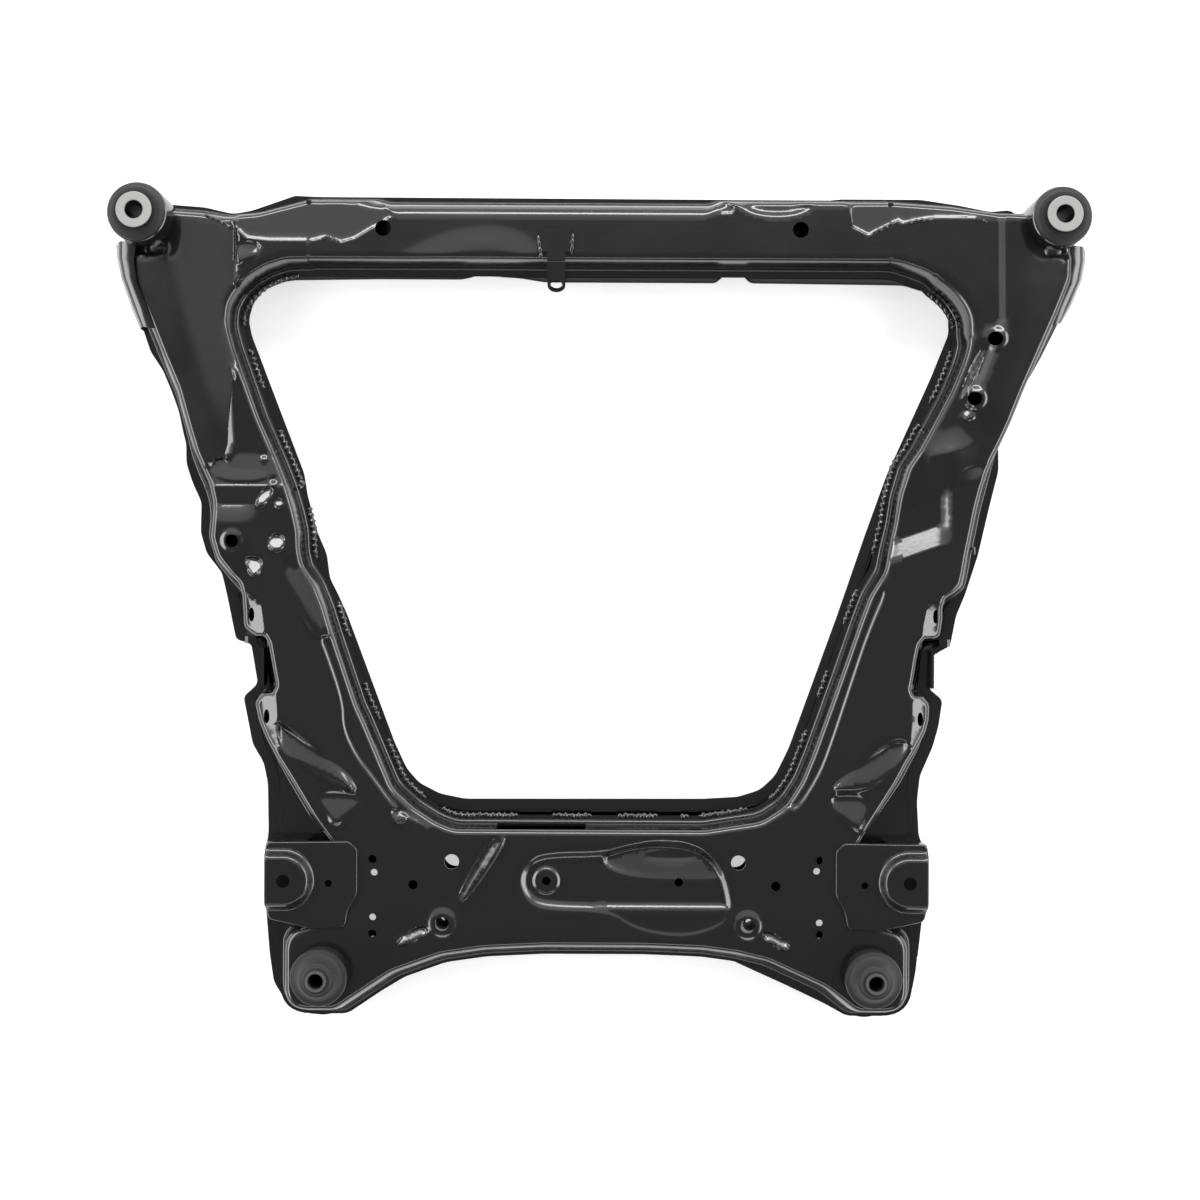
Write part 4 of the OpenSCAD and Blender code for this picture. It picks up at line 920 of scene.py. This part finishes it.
for side, tag in ((-1, "left"), (1, "right")):
    x, y = side * 455.5, 386.4
    tube = turned(tag + "_front_tube", [
        [(26.5, 6), (29.5, 6), (29.5, 96.4), (29.2, 97.4), (28.4, 98), (26.5, 98)],
        [
            (24.9, 10), (26.4, 10), (26.4, 98.1), (28.6, 98.1), (29.0, 98.5), (29.0, 99.1),
            (28.5, 99.5), (24.9, 99.5),
        ],
    ], x, y)
    tube.data.materials.append(black_paint)
    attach(tube, "root")
    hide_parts(tag + "_front_mount_tube", tag + "_front_bush_can")
    rubber = turned(tag + "_front_rubber", [[
        (12.6, 12), (24.8, 12), (24.8, 99.6), (28.0, 99.6), (28.5, 100.2), (28.4, 101.8), (27.5, 103.4),
        (26.2, 104.6), (24.6, 105.5), (22.6, 106.2), (21.6, 106.2), (21.0, 106.9), (12.6, 107),
    ]], x, y)
    rubber.data.materials.append(moulded_rubber)
    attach(rubber, "root")
    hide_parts(tag + "_front_bush_rubber")
    sleeve = turned(tag + "_front_sleeve_head", [[
        (9, 6), (12.5, 6), (12.5, 107.1), (17.0, 107.1), (17.5, 107.6), (17.5, 113.3), (16.9, 114),
        (9.7, 114), (9, 113.3),
    ]], x, y)
    sleeve.data.materials.append(turned_steel_painted_shade)
    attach(sleeve, "root")
    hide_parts(tag + "_front_sleeve")


# Rear body mounts: a collar welded through each rear corner, and a bush pressed into it, whose stepped,
# tapering rubber cap stands around a plain sleeve of dull steel.
dull_steel = coated("dull_steel", (0.07, 0.07, 0.07), 0.4, 0.5, 520.0, 0.00002, 1.6)
for side, tag in ((-1, "left"), (1, "right")):
    x, y = side * rear_mount_x, rear_mount_y
    tube = turned(tag + "_rear_collar", [
        [(24, 0), (27, 0), (27, 92.4), (26.7, 93.4), (25.9, 94), (24, 94)],
        [
            (22.4, 10), (23.9, 10), (23.9, 94.1), (26.0, 94.1), (26.5, 94.6), (26.5, 95.1),
            (26.0, 95.5), (22.4, 95.5),
        ],
    ], x, y)
    tube.data.materials.append(black_paint)
    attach(tube, "root")
    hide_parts(tag + "_rear_mount_tube", tag + "_rear_bush_can")
    rubber = turned(tag + "_rear_rubber", [[
        (10.1, 12), (22.3, 12), (22.3, 95.6), (27.5, 95.6), (28, 96.1), (28, 101.2), (27.3, 102.6),
        (26.0, 103.2), (24.2, 103.4), (22.6, 104.4), (17.6, 113.4), (16.8, 114.6), (15.2, 115.0),
        (14.4, 115.8), (13.8, 117.2), (12.6, 118), (10.1, 118),
    ]], x, y)
    rubber.data.materials.append(moulded_rubber)
    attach(rubber, "root")
    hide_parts(tag + "_rear_bush_rubber")
    sleeve = turned(tag + "_rear_sleeve_end", [[
        (7.5, 6), (10, 6), (10, 125.2), (9.4, 126), (8.1, 126), (7.5, 125.2),
    ]], x, y)
    sleeve.data.materials.append(dull_steel)
    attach(sleeve, "root")
    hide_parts(tag + "_rear_sleeve")


# Brackets over the arms' rear bushes: thick folded plate welded on the rear corners, each with a half-round
# dome that is open to the outside, and two walls that hold it up beside the bush.
def upright(points, low, high):
    """Wall over a loop of four points in the plan, between two heights."""
    loop = np.array(points, float)
    body = np.concatenate([np.column_stack([loop, np.full(4, h)]) for h in (low, high)])
    return body, np.array([[0, 3, 2, 1], [4, 5, 6, 7], [0, 1, 5, 4], [1, 2, 6, 5], [2, 3, 7, 6], [3, 0, 4, 7]])


plate_t = 3.2
no_triangles = np.empty((0, 3), int)
for side, tag in ((-1, "left"), (1, "right")):
    ax, ay = side * 310.5, -273.1

    def dome_lid(p):
        """Flat plate, with a step up inside a half circle that runs on straight to the outside."""
        inward = np.maximum(0, -side * (p[:, 0] - ax))
        return lid_z + plate_t + 0.1 + 9.5 * eased(26.5 - np.hypot(inward, p[:, 1] - ay), 8)

    plan = [
        (18, -22), (18, 37), (-64, 38), (-72, 31), (-72, -14), (-63, -29), (-60, -46), (-28, -48), (15, -38),
    ]
    edge = [[ax + side * u, ay + v, 6, 0.2, 0.1] for u, v in (plan if side > 0 else plan[::-1])]
    run = [(ax + side * 40, ay - 26.5), (ax, ay - 26.5)] + [
        (ax - side * 26.5 * np.sin(t), ay - 26.5 * np.cos(t)) for t in np.linspace(0.2, np.pi - 0.2, 16)
    ] + [(ax, ay + 26.5), (ax + side * 40, ay + 26.5)]
    dome_holes = [circle(ax, ay, 6.5), circle(ax - side * 44, ay - 3, 3.5)]
    plate = sheet_piece(
        tag + "_dome_plate",
        *pressing(edge, dome_lid, 1.4, dome_holes, 3.0, lid_z + 0.3, [beside(run, 8, closed=False)]),
        plate_t - 0.4,
    )
    plate.data.materials.append(black_paint)
    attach(plate, "root")
    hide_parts(tag + "_arm_rear_bracket")
    walls = [
        upright([(ax + side * u, ay + v) for u, v in loop], seam + 0.2, lid_z + 0.6)
        for loop in (
            ((18, 37), (-20, 37.5), (-20, 34.3), (18, 33.8)),
            ((15, -38), (14, -34.8), (-8, -37.3), (-8, -41.5)),
        )
    ]
    wall = sheet_piece(tag + "_dome_walls", np.concatenate([w[0] for w in walls]), no_triangles,
                       np.concatenate([walls[0][1], walls[1][1] + 8]), 0)
    wall.data.materials.append(black_paint)
    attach(wall, "root")
    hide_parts(tag + "_arm_rear_bracket")


# Clevises for the arms' front bushes: folded plate set into each rail's notch, two ears joined by a web, with
# a weld nut for the arm's bolt in front of them, all welded in before painting.
for side, tag in ((-1, "left"), (1, "right")):
    px, py = side * 354.0, -61.6
    walls = [
        upright([(px + side * u, py + v) for u, v in loop], seam + 0.3, seam + 27)
        for loop in (
            ((-20, -19), (-17, -19), (-17, -16), (-20, -16)),
            ((-20, 16), (-14, 16), (-14, 19), (-20, 19)),
            ((-20, -16), (-17, -16), (-17, 16), (-20, 16)),
        )
    ]
    clevis = sheet_piece(tag + "_clevis", np.concatenate([w[0] for w in walls]), no_triangles,
                         np.concatenate([w[1] + 8 * i for i, w in enumerate(walls)]), 0)
    clevis.data.materials.append(black_paint)
    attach(clevis, "root")
    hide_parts(tag + "_arm_front_bracket")
    t = np.radians(np.arange(0, 360, 60))
    nut_x, nut_z = px - side * 7 + 8 * np.cos(t), seam + 14 + 8 * np.sin(t)
    ends = [np.column_stack([nut_x, np.full(6, py + v), nut_z]) for v in (23, 30)]
    i = np.arange(6)
    flats = np.stack([i, (i + 1) % 6, (i + 1) % 6 + 6, i + 6], 1)
    caps = np.array([[0, k, k + 1] for k in range(1, 5)])
    nut = sheet_piece(tag + "_clevis_nut", np.concatenate(ends), np.concatenate([caps, caps + 6]), flats, 0)
    nut.data.materials.append(black_paint)
    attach(nut, "root")
    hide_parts("arm_front_nuts")


# Gussets beside the front mounts: a folded strip welded from the mount tube along the rail's outer wall,
# leaning out from the rail's fold to the lower sheet's lip.
for tag, head, toe in (
    (
        "left",
        [[-463.2, 363.9], [-465.5, 344], [-462.8, 323], [-451.6, 295.2], [-444.5, 276.2]],
        [[-488.3, 362.9], [-487.2, 349.7], [-483, 329.5], [-472, 298.1], [-463.7, 278.8]],
    ),
    (
        "right",
        [[466.8, 363.9], [469, 344], [466.2, 323], [455.5, 297.2], [449.6, 281.2]],
        [[491.1, 361.9], [490.6, 349.7], [487.3, 331.5], [477.4, 307.2], [466.5, 288]],
    ),
):
    levels = [(0.0, 61.0), (0.1, 60.9), (0.55, 59.8), (0.7, 57.5), (0.8, 51.0), (0.9, 41.0), (1.0, 36.0)]
    head, toe = np.array(head), np.array(toe)
    rows = np.array([np.column_stack([head * (1 - k) + toe * k, np.full(5, h)]) for k, h in levels])
    i, j = np.meshgrid(np.arange(len(levels) - 1), np.arange(4), indexing="ij")
    faces = np.stack([i * 5 + j, (i + 1) * 5 + j, (i + 1) * 5 + j + 1, i * 5 + j + 1], 2).reshape(-1, 4)
    gusset = sheet_piece(tag + "_gusset", rows.reshape(-1, 3), no_triangles, faces, sheet_t)
    gusset.data.materials.append(black_paint)
    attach(gusset, "root")
    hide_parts(tag + "_mount_gusset")


# Weld beads: short rippled runs of gas-shielded weld between the upper sheet's flange and the lower sheet's
# lip, and a few on top where the front beam meets the rails, all under the same paint.
chance = np.random.RandomState(7)


def bead(path, r):
    """Rippled flattened rope along a path of points: a ring of 10 points whose size swells along the way."""
    path = np.asarray(path, float)
    step = np.concatenate([[0], np.cumsum(np.linalg.norm(np.diff(path, axis=0), axis=1))])
    s = np.arange(0, step[-1], 1.1)
    middle = np.stack([np.interp(s, step, path[:, k]) for k in range(3)], 1)
    middle[:, :2] += chance.normal(0, 0.2, (len(s), 2))
    size = r * (1 + 0.28 * np.sin(s * 2 * np.pi / 6.4) + chance.normal(0, 0.1, len(s)))
    size *= np.clip(np.minimum(s, s[-1] - s) / 3, 0.15, 1)
    ahead = unit(np.gradient(middle, axis=0))
    aside = unit(np.cross(ahead, [0, 0, 1]))
    t = np.linspace(0, 2 * np.pi, 10, endpoint=False)
    spoke = aside[:, None] * np.cos(t)[:, None] + np.array([0, 0, 0.75]) * np.sin(t)[:, None]
    ring = middle[:, None] + size[:, None, None] * spoke
    i, j = np.meshgrid(np.arange(len(s) - 1), np.arange(10), indexing="ij")
    j2 = (j + 1) % 10
    quads = np.stack([i * 10 + j, i * 10 + j2, (i + 1) * 10 + j2, (i + 1) * 10 + j], 2).reshape(-1, 4)
    return ring.reshape(-1, 3), quads


flange = np.asarray(main_edge, float)
flange_steps = stations(rounded(flange, np.zeros(len(flange))), 4.0)
flange_end = sampled(rounded(flange, flange[:, 3] + flange[:, 4] + 2.2), flange_steps)
runs = [
    (-400, -200, 118, 182), (-360, -240, 45, 102), (-330, -200, -35, 6), (-300, -180, -118, -74),
    (-290, -120, -196, -132), (-160, -75, -230, -195), (-50, 0, -230, -195), (18, 64, -230, -195),
    (82, 96, -230, -195), (100, 156, -230, -195), (150, 240, -196, -120), (200, 300, -96, -60),
    (230, 330, -20, 20), (240, 380, 52, 186), (300, 400, 205, 262), (330, 400, 280, 330),
    (-400, -330, 215, 262), (-380, -300, 280, 345),
]
ropes = []
for x0, x1, y0, y1 in runs:
    on = (flange_end[:, 0] > x0) & (flange_end[:, 0] < x1) & (flange_end[:, 1] > y0) & (flange_end[:, 1] < y1)
    line = flange_end[on]
    ropes.append(bead(np.column_stack([line, np.full(len(line), seam + 1.2)]), 3.1))
for line in (
    [[-394.8, 389.8], [-381.8, 384.8], [-373.8, 380.8], [-365.1, 374.8]],
    [[271.5, 372.8], [284.4, 378.8], [296.3, 384.8]],
    [[301.3, 381.8], [311.3, 384.3], [320.2, 385.8], [332.1, 386.8]],
    [[380.9, 386.8], [386.9, 382.8]],
    [[-278, 362.9], [-272.1, 366.4], [-265.1, 364.9], [-258.1, 360.9]],
    [[-61, 368.8], [-57.8, 344]],
    [[-26.2, 370.8], [-28, 348.9]],
):
    q = np.array(line)
    ropes.append(bead(np.column_stack([q, main_lid(q) + (2.6 if abs(q[0, 0]) < 70 else 0.3)]), 1.7))
first = np.cumsum([0] + [len(r[0]) for r in ropes])
welds = sheet_piece("weld_beads", np.concatenate([r[0] for r in ropes]), no_triangles,
                    np.concatenate([r[1] + f for r, f in zip(ropes, first)]), 0, 80)
welds.data.materials.append(black_paint)
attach(welds, "root")


# The strip with the tie-down eye, the weld nuts and the spacer tubes keep their shapes; the strip's edges are
# broken a little. The tubes are bare inside, the rest is dipped with the frame.
for name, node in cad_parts.items():
    if not node.hide_render:
        node.data.materials.clear()
        node.data.materials.append(bare_metal if name == "steering_gear_tubes" else black_paint)
    if name == "tie_down_eye":
        rounding = node.modifiers.new("rounding", "BEVEL")
        rounding.width = 0.0011
        rounding.segments = 3
        rounding.limit_method = "ANGLE"
